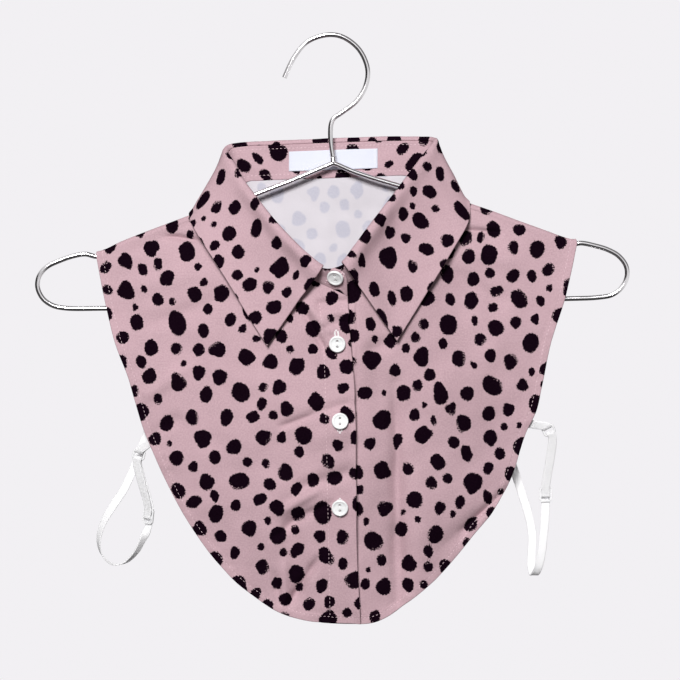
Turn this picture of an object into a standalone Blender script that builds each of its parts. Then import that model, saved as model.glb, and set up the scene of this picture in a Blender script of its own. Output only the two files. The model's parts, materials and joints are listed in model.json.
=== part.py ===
"""Detachable shirt collar, buttoned and hung on a bent wire hanger.

Tables and sizes are in millimetres and become metres as each mesh is made. +X is the
wearer's left, -Y the front, +Z up. The origin is the inside top of the hook.
"""

import math

import bmesh
import bpy
import numpy as np
from mathutils import Matrix, Vector
from mathutils.bvhtree import BVHTree

MM = 0.001

# Cloth walls
PANEL_WALL = 1.2
COLLAR_WALL = 1.5
LABEL_WALL = 1.0
GAP = 0.3
LEAF_SEAM = 0.4

# How finely each wall is divided: rows and columns, and the leaf's spans between its knots
FRONT_STEPS = (21, 17)
BACK_STEPS = (27, 13)
STAND_STEPS = 5
LEAF_STEPS = (1, 1, 2, 2, 2, 2)

# Hanger
WIRE = 3.4
WIRE_ROOM = 0.55
SHOULDER_RADIUS = WIRE / 2 + WIRE_ROOM + PANEL_WALL / 2
SHOULDER_ANGLES = (32.0, 61.0, 90.0)
ARM_LOWEST = -152.0

# Longest step and sharpest turn between two points of a swept piece: mm, degrees
HOOK_BENDS = (12.0, 9.0)
LOOP_BENDS = (26.0, 9.0)
BAND_BENDS = (7.0, 14.0)

# Buttons
BUTTON_WIDTH = 11.4
BUTTON_SEAT = 0.25
BUTTON_SIDES = 20

# Turned section of a button, from its back to its dished face: in from its edge, above its back
BUTTON_SECTION = [
    (BUTTON_WIDTH / 2, 0.0), (1.2, 0.0), (0.2, 0.6), (0.0, 1.2), (0.35, 2.2), (1.3, 2.2),
    (1.9, 1.7), (BUTTON_WIDTH / 2, 1.7),
]

# Elastics and their fittings
BAND_WIDTH = 5.8
BAND_THICK = 0.8
RING_INSIDE = (6.4, 4.2)
RING_WIRE = 1.3
RING_CORNER = 1.1
SLIDER_SIZE = (8.8, 10.4)
SLIDER_SLOT = (6.6, 3.0)
SLIDER_THICK = 1.2
SLIDER_EDGE = 0.25
LAYER_APART = 1.42
ROUND_BAR = RING_WIRE / 2 + BAND_THICK / 2 + 0.5
TAB_LAYERS = BAND_THICK + 0.35
TAB_BULGE = 0.15

# Label on the inside of the stand: its ends across, and its share of the stand's height
LABEL_ENDS = (-29.2, 32.3)
LABEL_SPAN = (0.23, 0.79)

# Hook centreline: x, z
HOOK = [
    (-32.1, -27.9), (-24.8, -12.8), (-16.1, -2.9), (-2.6, 1.7), (8.1, 0.2), (19.3, -8.3),
    (25.2, -21.5), (24.1, -33.0), (17.8, -43.8), (7.2, -52.1), (2.0, -55.8), (0.2, -59.6),
    (-0.4, -66.0), (0.0, -74.0), (1.0, -80.5), (1.6, -84.6),
]

# Hanger loop centreline, from its peak round by the wearer's right: x, z
LOOP = [
    (1.7, -87.2), (-3.4, -88.9), (-10.7, -92.0), (-28.3, -99.4), (-52.4, -108.7), (-80.0, -119.5),
    (-104.9, -129.0), (-125.6, -136.8), (-143.5, -143.9), (-154.6, -149.2), (-161.8, -151.2),
    (-169.4, -149.6), (-177.5, -150.8), (-187.5, -154.2), (-196.3, -158.6), (-201.4, -165.0),
    (-202.4, -172.5), (-198.8, -180.2), (-192.3, -184.9), (-184.0, -186.8), (-155.0, -187.0),
    (0.0, -183.9), (161.0, -180.4), (185.0, -179.4), (194.0, -177.6), (200.6, -172.6),
    (204.2, -165.2), (203.6, -157.8), (198.4, -150.8), (190.6, -146.4), (182.0, -143.8),
    (173.0, -142.0), (166.4, -142.6), (158.0, -140.4), (147.7, -136.6), (128.3, -129.6),
    (109.0, -122.5), (78.7, -112.4), (50.7, -103.7), (26.9, -96.6), (13.9, -92.1), (6.8, -89.0),
]

# Where the neck seam crosses the wire, and where each shoulder ends: x
SHOULDER_RIGHT = (-66.6, -161.8)
SHOULDER_LEFT = (67.4, 169.6)

# Collar sections from the outer lap round the back to the inner lap. Each row has the
# neck seam, the fold and the leaf's free edge (x, y, z each), how far the stand starts
# above the seam, and how far the fold stands above the top of the stand.
COLLAR = [
    ((11.4, -38.0, -178.4), (10.8, -46.6, -163.2), (-43.2, -37.0, -212.9), 1.1, 0.0),
    ((3.5, -38.0, -174.5), (2.8, -47.8, -159.9), (-43.2, -37.0, -212.9), 1.1, 0.6),
    ((-9.4, -37.5, -168.4), (-4.4, -48.0, -158.0), (-43.2, -37.0, -212.9), 1.1, 2.9),
    ((-24.3, -34.0, -162.7), (-15.4, -44.5, -149.5), (-54.2, -33.0, -196.0), 1.1, 3.1),
    ((-38.0, -29.0, -154.8), (-27.6, -38.5, -137.8), (-64.5, -29.0, -178.9), 1.1, 3.3),
    ((-49.0, -23.0, -144.1), (-40.0, -30.5, -123.9), (-74.2, -25.0, -163.2), 0.9, 3.4),
    ((-57.4, -16.5, -132.2), (-51.1, -22.5, -109.6), (-84.3, -20.0, -147.7), 1.1, 3.4),
    ((-62.5, -9.0, -121.6), (-59.4, -14.5, -98.2), (-92.8, -13.0, -134.5), 1.2, 3.4),
    ((-65.4, 0.0, -111.2), (-67.1, -5.5, -85.0), (-97.0, -5.4, -125.6), 1.2, 3.4),
    ((-63.3, 5.0, -103.4), (-72.1, 1.0, -77.2), (-97.0, 0.5, -121.2), 1.1, 3.4),
    ((-57.5, 7.0, -99.1), (-70.3, 6.3, -73.4), (-92.1, 6.0, -117.9), 0.75, 3.4),
    ((-49.9, 7.5, -98.4), (-61.7, 8.3, -71.7), (-80.5, 10.0, -115.9), 0.75, 3.4),
    ((-31.9, 7.5, -97.6), (-40.9, 8.5, -70.6), (-52.8, 13.0, -115.8), 0.75, 3.4),
    ((2.1, 7.5, -96.5), (2.1, 8.5, -68.7), (2.0, 14.0, -114.7), 0.75, 3.4),
    ((33.9, 7.5, -95.3), (42.2, 8.5, -67.7), (56.2, 13.0, -112.7), 0.75, 3.4),
    ((51.2, 7.5, -94.9), (61.6, 8.3, -67.7), (81.1, 10.0, -111.4), 0.75, 3.4),
    ((58.8, 7.0, -96.3), (69.9, 6.3, -68.0), (92.0, 6.0, -113.0), 0.75, 3.4),
    ((64.3, 5.0, -99.6), (71.4, 1.0, -70.0), (94.6, 0.5, -114.6), 1.1, 3.4),
    ((66.2, 0.0, -105.7), (63.0, -5.5, -80.9), (95.6, -5.4, -120.6), 1.2, 3.4),
    ((63.2, -9.0, -115.4), (53.8, -14.5, -93.2), (93.3, -13.0, -130.4), 1.2, 3.4),
    ((57.2, -16.5, -126.7), (44.1, -22.5, -106.2), (84.8, -20.0, -145.0), 1.1, 3.4),
    ((47.1, -23.0, -138.6), (34.2, -30.5, -119.3), (75.4, -25.0, -160.5), 0.9, 3.4),
    ((37.5, -28.5, -149.3), (24.6, -37.0, -132.1), (65.7, -29.0, -176.2), 1.1, 3.3),
    ((25.9, -32.0, -158.6), (15.7, -42.0, -143.9), (55.4, -33.0, -192.9), 1.1, 3.1),
    ((12.3, -34.0, -168.5), (6.9, -45.6, -155.6), (44.8, -37.0, -209.5), 1.1, 2.9),
    ((2.8, -33.0, -173.6), (0.1, -43.9, -160.0), (44.8, -37.0, -209.5), 1.1, 0.6),
    ((-4.0, -31.0, -176.6), (-5.6, -40.8, -163.0), (44.8, -37.0, -209.5), 1.1, 0.0),
]
POINT_RIGHT, CROSS_RIGHT, CORNER_RIGHT, CENTRE_BACK = 2, 8, 9, 13
CORNER_LEFT, CROSS_LEFT, POINT_LEFT = 17, 18, 24

# Neck seams start this many table rows before or behind the crossing of the wire
FRONT_FROM_CROSS = 0.26
BACK_FROM_CROSS = 0.45

# How the rows of a front crowd towards the shoulder, along the neck and along the armhole
NECK_CROWDING = 1.15
EDGE_CROWDING = 0.93

# Leaf: its roll below and out of the fold, its sag, and the share of its run where each changes
ROLL_DROP = 3.0
ROLL_OUT = 3.8
ROLL_OUT_AT_POINTS = 2.0
SAG_BACK = 0.6
SAG_SIDES = 2.6
SAG_LOST_AT_POINTS = 2.4
SIDES_SPAN = (0.35, 0.8)
POINTS_SPAN = (0.86, 1.0)

# Armhole and hem of each front, from the shoulder's end to the foot of the front edge: x, y, z
FRONT_RIGHT_EDGE = [
    (-154.8, -6.0, -186.2), (-148.6, -8.0, -210.2), (-138.7, -9.0, -236.3), (-134.4, -10.0, -252.0),
    (-127.9, -10.0, -272.7), (-121.6, -11.0, -287.0), (-113.0, -12.0, -306.8), (-94.6, -14.0, -339.0),
    (-81.0, -15.0, -357.7), (-58.2, -17.0, -380.3), (-36.5, -18.0, -394.4), (-16.4, -18.0, -400.7),
    (5.0, -18.0, -402.4), (20.4, -18.0, -402.8),
]
FRONT_LEFT_EDGE = [
    (161.3, -6.0, -179.6), (150.9, -8.0, -212.7), (145.2, -9.0, -239.8), (141.1, -10.0, -256.9),
    (134.2, -10.0, -272.0), (126.8, -11.0, -295.5), (122.6, -12.0, -306.0), (111.9, -13.0, -325.0),
    (102.8, -14.0, -336.0), (84.6, -15.0, -358.9), (69.8, -17.0, -374.6), (51.5, -18.0, -389.3),
    (38.0, -18.0, -398.6), (28.0, -18.0, -402.4), (12.0, -18.0, -402.8), (-7.0, -18.0, -402.0),
]

# The same round the back panel, from shoulder to shoulder: x, y, z
BACK_EDGE = [
    (-157.0, 5.0, -174.0), (-144.8, 8.0, -215.8), (-131.1, 9.5, -257.4), (-113.8, 10.0, -299.0),
    (-88.0, 11.0, -342.0), (-50.0, 11.0, -378.5), (2.7, 11.0, -394.8), (54.0, 11.0, -379.5),
    (92.0, 10.5, -345.5), (119.0, 10.0, -303.0), (134.8, 9.5, -265.0), (150.0, 7.5, -207.0),
    (162.5, 5.0, -168.0),
]

# Front edge that laps over, as its bow off a straight line: share of its length, x
LAP_BOW = [(0.0, 0.0), (0.12, 0.6), (0.3, 2.2), (0.55, 0.9), (0.8, -0.6), (1.0, 0.0)]

# How the two fronts lie on each other where they lap, down the lap: share, forward by
LAP_OVER = [(0.0, 0.0), (0.15, 0.3), (0.6, 1.2), (1.0, 1.8)]
LAP_UNDER = [(0.0, 0.0), (0.08, 1.4), (0.3, 2.0), (0.7, 1.2), (1.0, 0.0)]
LAP_PARTS = {False: (LAP_OVER, -24.0, -9.0), True: (LAP_UNDER, 34.0, 19.0)}

# Rounded top corner of the outer lap: how far it runs in table rows, and the share cut off its end
LAP_ROUND = 0.6
LAP_END_CUT = 0.3

# A fold keeps its height over its middle half and fades past that, by this share of its length
FOLD_MIDDLE = 0.25
FOLD_FADE = 0.3

# Folds of the fronts: x, z of both ends, half width, height (+ stands out, - is a trough)
FOLDS = [
    (44.0, -262.0, 45.5, -392.0, 8.0, -2.6),
    (62.0, -300.0, 60.0, -372.0, 9.0, 1.4),
    (-29.0, -318.0, -21.0, -392.0, 8.0, -2.4),
    (-46.0, -300.0, -40.0, -384.0, 9.0, 1.5),
    (-126.0, -276.0, -104.0, -262.0, 4.5, -2.0),
    (104.0, -326.0, 76.0, -352.0, 6.0, -1.8),
    (-50.0, -232.0, -64.0, -290.0, 16.0, 2.4),
    (70.0, -232.0, 84.0, -284.0, 16.0, 2.2),
    (-8.0, -186.0, 10.0, -198.0, 4.0, -1.4),
]

# Folds of the back panel, as above (- stands out at the back)
BACK_FOLDS = [
    (-62.0, -170.0, -52.0, -350.0, 18.0, -2.4),
    (48.0, -180.0, 40.0, -360.0, 16.0, -2.0),
    (-6.0, -150.0, 0.0, -330.0, 14.0, 1.8),
]

# Buttons down the front: name, x, z
BUTTONS = [
    ("button_collar", 3.2, -166.4),
    ("button_front_1", 4.4, -211.6),
    ("button_front_2", 6.1, -264.0),
    ("button_front_3", 6.2, -322.7),
]

# Elastic bands: x, y, z and the way the band's width points, in degrees from +X towards +Y
BAND_RIGHT = [
    (-121.5, 8.0, -256.0, 0), (-124.0, 7.3, -264.8, 0), (-127.0, 5.8, -273.2, 0),
    (-130.2, 4.0, -281.4, 0), (-133.2, 2.4, -289.4, -4), (-136.2, 1.0, -297.4, -8),
    (-139.2, -0.6, -304.4, -10), (-143.2, -2.2, -312.6, -12), (-150.8, -3.6, -324.2, -20),
    (-157.2, -4.0, -335.6, -40), (-160.0, -4.0, -347.3, -62), (-157.6, -4.0, -357.0, -82),
    (-150.6, -4.0, -363.2, -96), (-141.8, -4.2, -362.2, -112), (-133.9, -4.6, -354.6, -128),
    (-129.2, -5.0, -345.6, -140),
]
BAND_LEFT = [
    (121.0, 7.8, -278.5, 0), (123.4, 7.6, -288.0, 0), (127.6, 6.9, -301.4, 0),
    (132.4, 5.4, -316.0, 0), (136.8, 4.4, -330.6, 0), (139.2, 4.0, -343.6, 0),
    (138.8, 3.2, -355.6, 4), (138.4, 1.2, -365.0, 6), (139.8, -3.0, -370.6, 8),
    (142.2, -7.4, -366.2, 6), (144.6, -9.4, -355.1, 4), (146.2, -9.2, -341.0, 0),
    (147.2, -8.0, -329.4, 0),
]

# Fittings: centre x, y, z, degrees it hangs off plumb in the front view, degrees turned about plumb
SLIDER_RIGHT = ((-125.6, -5.5, -330.2), -6.0, -35.0)
SLIDER_LEFT = ((147.6, -6.6, -315.0), 0.0, 0.0)
RING_RIGHT = ((-132.2, -6.4, -287.8), -12.0, -8.0)
RING_LEFT = ((149.8, -6.8, -270.9), 28.0, 0.0)
TAB_RIGHT_START = (-122.4, -7.9, -277.2)
TAB_LEFT_START = (134.6, -7.8, -266.2)


# ---------------------------------------------------------------- scene and materials


def clear_scene():
    for thing in list(bpy.data.objects):
        bpy.data.objects.remove(thing, do_unlink=True)


def finish(name, colour, roughness, metallic=0.0):
    material = bpy.data.materials.new(name)
    material.use_nodes = True
    shader = material.node_tree.nodes["Principled BSDF"]
    shader.inputs["Base Color"].default_value = (*colour, 1.0)
    shader.inputs["Roughness"].default_value = roughness
    shader.inputs["Metallic"].default_value = metallic
    return material


def add_mesh(name, points, faces, material):
    """One object from points in millimetres, with its faces turned outwards."""
    mesh = bpy.data.meshes.new(name)
    mesh.from_pydata([Vector(point) * MM for point in points], [], faces)
    shape = bmesh.new()
    shape.from_mesh(mesh)
    bmesh.ops.recalc_face_normals(shape, faces=shape.faces)
    shape.to_mesh(mesh)
    shape.free()
    mesh.shade_smooth()
    mesh.set_sharp_from_angle(angle=math.radians(40))
    mesh.materials.append(material)
    thing = bpy.data.objects.new(name, mesh)
    bpy.context.scene.collection.objects.link(thing)
    return thing


# ---------------------------------------------------------------- curves and grids


def unit(vectors):
    vectors = np.asarray(vectors, float)
    return vectors / np.linalg.norm(vectors, axis=-1, keepdims=True)


class Curve:
    """A smooth curve through rows of numbers, read by row number or by share of length."""

    LEAST_SPAN = 0.3

    def __init__(self, rows, closed=False, steps=24, length_of=slice(0, 3)):
        rows = np.array(rows, float)
        if closed:
            rows = np.vstack([rows[-2:], rows, rows[:3]])
        spans = np.sqrt(np.linalg.norm(np.diff(rows[:, length_of], axis=0), axis=1))
        spans = np.maximum(spans, self.LEAST_SPAN)[:, None]
        slopes = np.diff(rows, axis=0) / spans
        tangents = np.empty_like(rows)
        tangents[1:-1] = slopes[:-1] * spans[1:] + slopes[1:] * spans[:-1]
        tangents[1:-1] /= spans[1:] + spans[:-1]
        tangents[0] = 1.5 * slopes[0] - 0.5 * tangents[1]
        tangents[-1] = 1.5 * slopes[-1] - 0.5 * tangents[-2]
        first, last = (2, len(rows) - 3) if closed else (0, len(rows) - 1)
        self.row = np.linspace(0, last - first, (last - first) * steps + 1)
        span = np.minimum(self.row.astype(int), last - first - 1)
        part = (self.row - span)[:, None]
        span = span + first
        self.points = (
            (2 * part**3 - 3 * part**2 + 1) * rows[span]
            + (part**3 - 2 * part**2 + part) * spans[span] * tangents[span]
            + (3 * part**2 - 2 * part**3) * rows[span + 1]
            + (part**3 - part**2) * spans[span] * tangents[span + 1]
        )
        steps_along = np.linalg.norm(np.diff(self.points[:, length_of], axis=0), axis=1)
        self.travel = np.concatenate([[0], np.cumsum(steps_along)])

    def at_row(self, row):
        columns = [np.interp(row, self.row, column) for column in self.points.T]
        return np.stack(columns, axis=-1)

    def row_at(self, travel):
        return np.interp(travel, self.travel, self.row)

    def at(self, share):
        return self.at_row(self.row_at(np.asarray(share) * self.travel[-1]))


def grid_normals(grid):
    across = np.gradient(grid, axis=0)
    along = np.gradient(grid, axis=1)
    return unit(np.cross(across, along))


def facing(grid, way):
    """Grid normals, turned so that most of them face the given way at the grid's middle."""
    normals = grid_normals(grid)
    middle = normals[grid.shape[0] // 2, grid.shape[1] // 2]
    return normals if np.dot(middle, way) > 0 else -normals


def wall(name, grid, normals, thickness, material):
    """A closed wall of even thickness on both sides of a grid of points."""
    rows, columns = grid.shape[:2]
    count = rows * columns
    points = np.vstack([
        (grid + normals * thickness / 2).reshape(-1, 3),
        (grid - normals * thickness / 2).reshape(-1, 3),
    ])
    faces = []
    for i in range(rows - 1):
        for j in range(columns - 1):
            corner = i * columns + j
            quad = (corner, corner + 1, corner + columns + 1, corner + columns)
            faces.append(quad)
            faces.append(tuple(count + index for index in reversed(quad)))
    rim = [j for j in range(columns)]
    rim += [i * columns + columns - 1 for i in range(1, rows)]
    rim += [(rows - 1) * columns + j for j in range(columns - 2, -1, -1)]
    rim += [i * columns for i in range(rows - 2, 0, -1)]
    for here, there in zip(rim, rim[1:] + rim[:1]):
        faces.append((there, here, count + here, count + there))
    return add_mesh(name, points, faces, material)


def tree_of(grids):
    """A search tree over grids of points, each given with its outward normals."""
    points, faces = [], []
    for grid, normals in grids:
        rows, columns = grid.shape[:2]
        start = len(points)
        points.extend(Vector(point) for point in grid.reshape(-1, 3))
        turned = np.dot(grid_normals(grid)[rows // 2, columns // 2], normals[rows // 2, columns // 2])
        for i in range(rows - 1):
            for j in range(columns - 1):
                corner = start + i * columns + j
                quad = [corner, corner + columns, corner + columns + 1, corner + 1]
                faces.append(quad if turned > 0 else quad[::-1])
    return BVHTree.FromPolygons(points, faces)


def pushed_off(grid, tree, apart):
    """The grid moved out wherever it comes nearer than this to the surface under it."""
    moved = grid.copy()
    for index in np.ndindex(grid.shape[:2]):
        for _ in range(3):
            point = Vector(moved[index])
            nearest, normal, _, distance = tree.find_nearest(point)
            height = (point - nearest).dot(normal)
            beside = distance > apart and abs(height) < 0.7 * distance
            if height < apart and not beside:
                moved[index] = point + normal * (apart - height)
    return moved


def smooth_step(value, start, end):
    share = np.clip((value - start) / (end - start), 0, 1)
    return share * share * (3 - 2 * share)


def folds_at(grid, folds):
    """How far the folds move each point along Y (a ridge of a front goes to -Y)."""
    moved = np.zeros(grid.shape[:2])
    flat = grid[..., [0, 2]]
    for x0, z0, x1, z1, half_width, height in folds:
        start, line = np.array([x0, z0]), np.array([x1 - x0, z1 - z0])
        length = np.linalg.norm(line)
        along = ((flat - start) @ line) / length**2
        aside = np.linalg.norm(flat - start - np.clip(along, 0, 1)[..., None] * line, axis=-1)
        beyond = np.clip(np.abs(along - 0.5) - FOLD_MIDDLE, 0, None)
        fading = np.exp(-((beyond / FOLD_FADE) ** 2))
        moved -= height * fading * np.exp(-((aside / half_width) ** 2))
    return moved


# ---------------------------------------------------------------- hanger


def loop_curve():
    return Curve([(x, 0.0, z) for x, z in LOOP], closed=True)


def wire_at(x, left):
    """Centre of the hanger's arm above a given x, and the way that is square to it."""
    points = loop_curve().points
    peak = LOOP[0][0]
    top = points[:, 2] > ARM_LOWEST
    side = points[:, 0] > peak if left else points[:, 0] < peak
    arm = points[top & side]
    arm = arm[np.argsort(arm[:, 0])]
    z = np.interp(x, arm[:, 0], arm[:, 2])
    reach = WIRE / 2
    ahead, behind = (np.interp(x + way * reach, arm[:, 0], arm[:, 2]) for way in (1, -1))
    slope = (ahead - behind) / (2 * reach)
    up = unit(np.stack([-slope, np.zeros_like(slope), np.ones_like(slope)], axis=-1))
    return np.stack([x, np.zeros_like(x), z], axis=-1), up


def add_wire(name, points, closed, material):
    shape = bpy.data.curves.new(name, "CURVE")
    shape.dimensions = "3D"
    shape.bevel_depth = WIRE / 2 * MM
    shape.bevel_resolution = 3
    shape.use_fill_caps = True
    line = shape.splines.new("POLY")
    line.points.add(len(points) - 1)
    for place, point in zip(line.points, points):
        place.co = (*(Vector(point) * MM), 1.0)
    line.use_cyclic_u = closed
    shape.materials.append(material)
    thing = bpy.data.objects.new(name, shape)
    bpy.context.scene.collection.objects.link(thing)
    return thing


def bend_steps(points, longest, sharpest):
    """Which points of a fine curve to keep: close together where it bends, far apart where straight."""
    chosen = [0]
    turned, travelled = 0.0, 0.0
    for i in range(1, len(points) - 1):
        before, after = points[i] - points[i - 1], points[i + 1] - points[i]
        cosine = np.dot(before, after) / np.linalg.norm(before) / np.linalg.norm(after)
        turned += math.degrees(math.acos(min(1.0, cosine)))
        travelled += np.linalg.norm(before)
        if turned > sharpest or travelled > longest:
            chosen.append(i)
            turned, travelled = 0.0, 0.0
    return chosen + [len(points) - 1]


def build_hanger(steel):
    hook = Curve([(x, 0.0, z) for x, z in HOOK]).points
    frame = loop_curve().points
    add_wire("hanger_hook", hook[bend_steps(hook, *HOOK_BENDS)], False, steel)
    add_wire("hanger_frame", frame[bend_steps(frame, *LOOP_BENDS)[:-1]], True, steel)


# ---------------------------------------------------------------- cloth


def collar_curve():
    rows = [(*neck, *fold, *edge, rise, lift) for neck, fold, edge, rise, lift in COLLAR]
    return Curve(rows, length_of=slice(3, 6))


def shoulder_strip(ends, left, back, columns):
    """Rows of points over the wire, from the seam on top round to where the cloth hangs."""
    x = np.linspace(ends[0], ends[1], columns)
    centre, up = wire_at(x, left)
    outward = np.array([0.0, 1.0 if back else -1.0, 0.0])
    first = math.degrees(0.6 * GAP / (SHOULDER_RADIUS - PANEL_WALL / 2))
    rows, normals = [], []
    for angle in (first, *SHOULDER_ANGLES):
        turn = math.radians(angle)
        normal = math.cos(turn) * up + math.sin(turn) * outward
        rows.append(centre + SHOULDER_RADIUS * normal)
        normals.append(normal)
    return np.array(rows), np.array(normals)


def shoulder_roll(ends, left):
    """Both strips over the wire as one grid without the seam, with its normals."""
    columns = FRONT_STEPS[1]
    front, front_normals = shoulder_strip(ends, left, False, columns)
    back, back_normals = shoulder_strip(ends, left, True, columns)
    return np.vstack([front[::-1], back]), np.vstack([front_normals[::-1], back_normals])


def fan(inner, outer, first_row, last_row):
    """A grid between two edges, bent to follow a given first and last row."""
    share = np.linspace(0, 1, inner.shape[0])[:, None, None]
    across = np.linspace(0, 1, first_row.shape[0])[None, :, None]
    grid = (1 - across) * inner[:, None] + across * outer[:, None]
    grid += (1 - share) ** 3 * (first_row - grid[0])[None]
    grid += share**3 * (last_row - grid[-1])[None]
    return grid


def dome(grid, neck_y, edge_y):
    """Depth of a front: straight down from the shoulder, fuller towards the centre."""
    share = np.linspace(0, 1, grid.shape[0])[:, None]
    across = np.linspace(0, 1, grid.shape[1])[None, :]
    full = smooth_step(share, 0.0, 0.8)
    level = (1 - full) * (1 - across) + full * (1 - across**2 + 0.5 * across * (1 - across))
    return edge_y[:, None] + (neck_y - edge_y)[:, None] * level


def front_grid(left, rows, columns):
    """Middle surface of one front and its outward normals."""
    collar = collar_curve()
    ends = SHOULDER_LEFT if left else SHOULDER_RIGHT
    cross = CROSS_LEFT if left else CROSS_RIGHT
    lap = len(COLLAR) - 1 if left else 0
    strip, strip_normals = shoulder_strip(ends, left, False, columns)
    share = np.linspace(0, 1, rows)
    near = cross + FRONT_FROM_CROSS * np.sign(lap - cross)
    neck = collar.at_row(near + (lap - near) * share**NECK_CROWDING)[:, 0:3]
    neck[0] = strip[-1][0]
    edge_table = FRONT_LEFT_EDGE if left else FRONT_RIGHT_EDGE
    edge = Curve([tuple(strip[-1][-1])] + edge_table).at(share**EDGE_CROWDING)
    foot = np.linspace(0, 1, columns)
    front_row = neck[-1] + foot[:, None] * (edge[-1] - neck[-1])
    if not left:
        bow = Curve([(where, x, 0.0) for where, x in LAP_BOW])
        front_row[:, 0] += np.interp(foot, bow.points[:, 0], bow.points[:, 1])
    grid = fan(neck, edge, strip[-1], front_row)
    depth = dome(grid, neck[:, 1], edge[:, 1])
    settle = smooth_step(share, 0.0, 0.12)[:, None]
    grid[..., 1] = grid[..., 1] * (1 - settle) + depth * settle
    grid[..., 1] += folds_at(grid, FOLDS) * settle
    table, start, end = LAP_PARTS[left]
    forward = np.interp(foot, *np.transpose(table))
    grid[..., 1] -= forward[None, :] * smooth_step(grid[..., 0], start, end)
    grid = np.vstack([strip[:-1], grid])
    normals = facing(grid, (0, -1, 0))
    normals[: len(strip)] = strip_normals
    return grid, normals


def back_grid(rows, columns):
    """Middle surface of the back panel and its outward normals."""
    collar = collar_curve()
    right, right_normals = shoulder_strip(SHOULDER_RIGHT, False, True, columns)
    left, left_normals = shoulder_strip(SHOULDER_LEFT, True, True, columns)
    share = np.linspace(0, 1, rows)
    start, end = CROSS_RIGHT + BACK_FROM_CROSS, CROSS_LEFT - BACK_FROM_CROSS
    neck = collar.at_row(start + (end - start) * share)[:, 0:3]
    neck[0], neck[-1] = right[-1][0], left[-1][0]
    edge = Curve([tuple(right[-1][-1])] + BACK_EDGE + [tuple(left[-1][-1])]).at(share)
    grid = fan(neck, edge, right[-1], left[-1])
    settle = (smooth_step(share, 0.0, 0.1) * smooth_step(1 - share, 0.0, 0.1))[:, None]
    grid[..., 1] += folds_at(grid, BACK_FOLDS) * settle
    grid = np.vstack([right[:-1], grid, left[-2::-1]])
    normals = facing(grid, (0, 1, 0))
    normals[: len(right)] = right_normals
    normals[-len(left):] = left_normals[::-1]
    return grid, normals


def stand_frame(sections):
    """For each collar section: seam, fold, the way up the stand and the way out of it."""
    neck, fold = sections[:, 0:3], sections[:, 3:6]
    up = unit(fold - neck)
    out = unit(np.cross(up, np.gradient(fold, axis=0)))
    return neck, fold, up, out


def collar_stations():
    """Where the collar is cut into sections: every half row, and closer at both shoulders."""
    last = len(COLLAR) - 1
    parts = [np.linspace(0, last, 2 * last + 1)]
    for corner in (CORNER_RIGHT, CORNER_LEFT):
        parts.append(np.linspace(corner - 2, corner + 2, 17))
    return np.unique(np.round(np.concatenate(parts), 4))


def stand_grid(stations, columns):
    """Middle surface of the stand, from lap to lap, and its outward normals."""
    sections = collar_curve().at_row(stations)
    neck, fold, up, _ = stand_frame(sections)
    rise, lift = sections[:, 9:10], sections[:, 10:11]
    foot, top = neck + up * rise, fold - up * lift
    rounding = np.clip(stations / LAP_ROUND, 0, 1)
    height = 1 - LAP_END_CUT * (1 - np.sqrt(1 - (1 - rounding) ** 2))
    top = foot + (top - foot) * height[:, None]
    share = np.linspace(0, 1, columns)[None, :, None]
    grid = foot[:, None] + share * (top - foot)[:, None]
    return grid, facing(grid, (0, 1, 0))


def leaf_grid(stations, spans, tree):
    """Middle surface of the leaf, over the fold and out to its free edge."""
    stations = stations[(stations >= POINT_RIGHT) & (stations <= POINT_LEFT)]
    sections = collar_curve().at_row(stations)
    _, fold, up, out = stand_frame(sections)
    edge, lift = sections[:, 6:9], sections[:, 10:11]
    around = np.abs(stations - CENTRE_BACK) / (CENTRE_BACK - POINT_RIGHT)
    end = smooth_step(around, *POINTS_SPAN)[:, None]
    side = smooth_step(around, *SIDES_SPAN)[:, None]
    sag = SAG_BACK + SAG_SIDES * side - SAG_LOST_AT_POINTS * end
    half = COLLAR_WALL / 2
    over = fold - up * ROLL_DROP + out * (ROLL_OUT + ROLL_OUT_AT_POINTS * end)
    chord = unit(edge - over)
    sink = unit(np.cross(np.gradient(over, axis=0), chord))
    sink *= np.sign(np.sum(sink * out, axis=-1, keepdims=True))
    knots = np.stack([
        fold - up * (lift - GAP - LEAF_SEAM),
        fold - up * (half + ROLL_DROP / 6) + out * ROLL_OUT / 10,
        fold - up * half + out * ROLL_OUT / 2,
        over,
        over + 0.33 * (edge - over) - sag * sink,
        over + 0.68 * (edge - over) - 0.8 * sag * sink,
        edge,
    ], axis=1)
    grid = np.stack([section_points(row, spans) for row in knots])
    below = len(grid[0]) - sum(spans[3:]) - 1
    apart = (COLLAR_WALL + PANEL_WALL) / 2 + 2 * GAP
    grid[:, below:] = pushed_off(grid[:, below:], tree, apart)
    return grid, facing(grid, (0, 1, 0))


def section_points(knots, spans):
    """Points of a smooth section, with a given count in each span between its knots."""
    curve = Curve(knots)
    rows = [span + step / count for span, count in enumerate(spans) for step in range(count)]
    return curve.at_row(np.array(rows + [len(spans)], float))


def build_label(grid, normals, cloth):
    """A bare label on the inside of the stand at the centre back."""
    behind = grid[:, 0, 1] > 0
    low, high, out = grid[behind, 0], grid[behind, -1], normals[behind, grid.shape[1] // 2]
    across = np.linspace(*LABEL_ENDS, 9)
    off = COLLAR_WALL / 2 + GAP + LABEL_WALL / 2
    label = []
    for share in LABEL_SPAN:
        row = low + share * (high - low) - off * out
        order = np.argsort(row[:, 0])
        label.append([np.interp(across, row[order, 0], row[order, k]) for k in range(3)])
    label = np.array(label).transpose(0, 2, 1)
    wall("neck_label", label, facing(label, (0, -1, 0)), LABEL_WALL, cloth)


# ---------------------------------------------------------------- buttons


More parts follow.
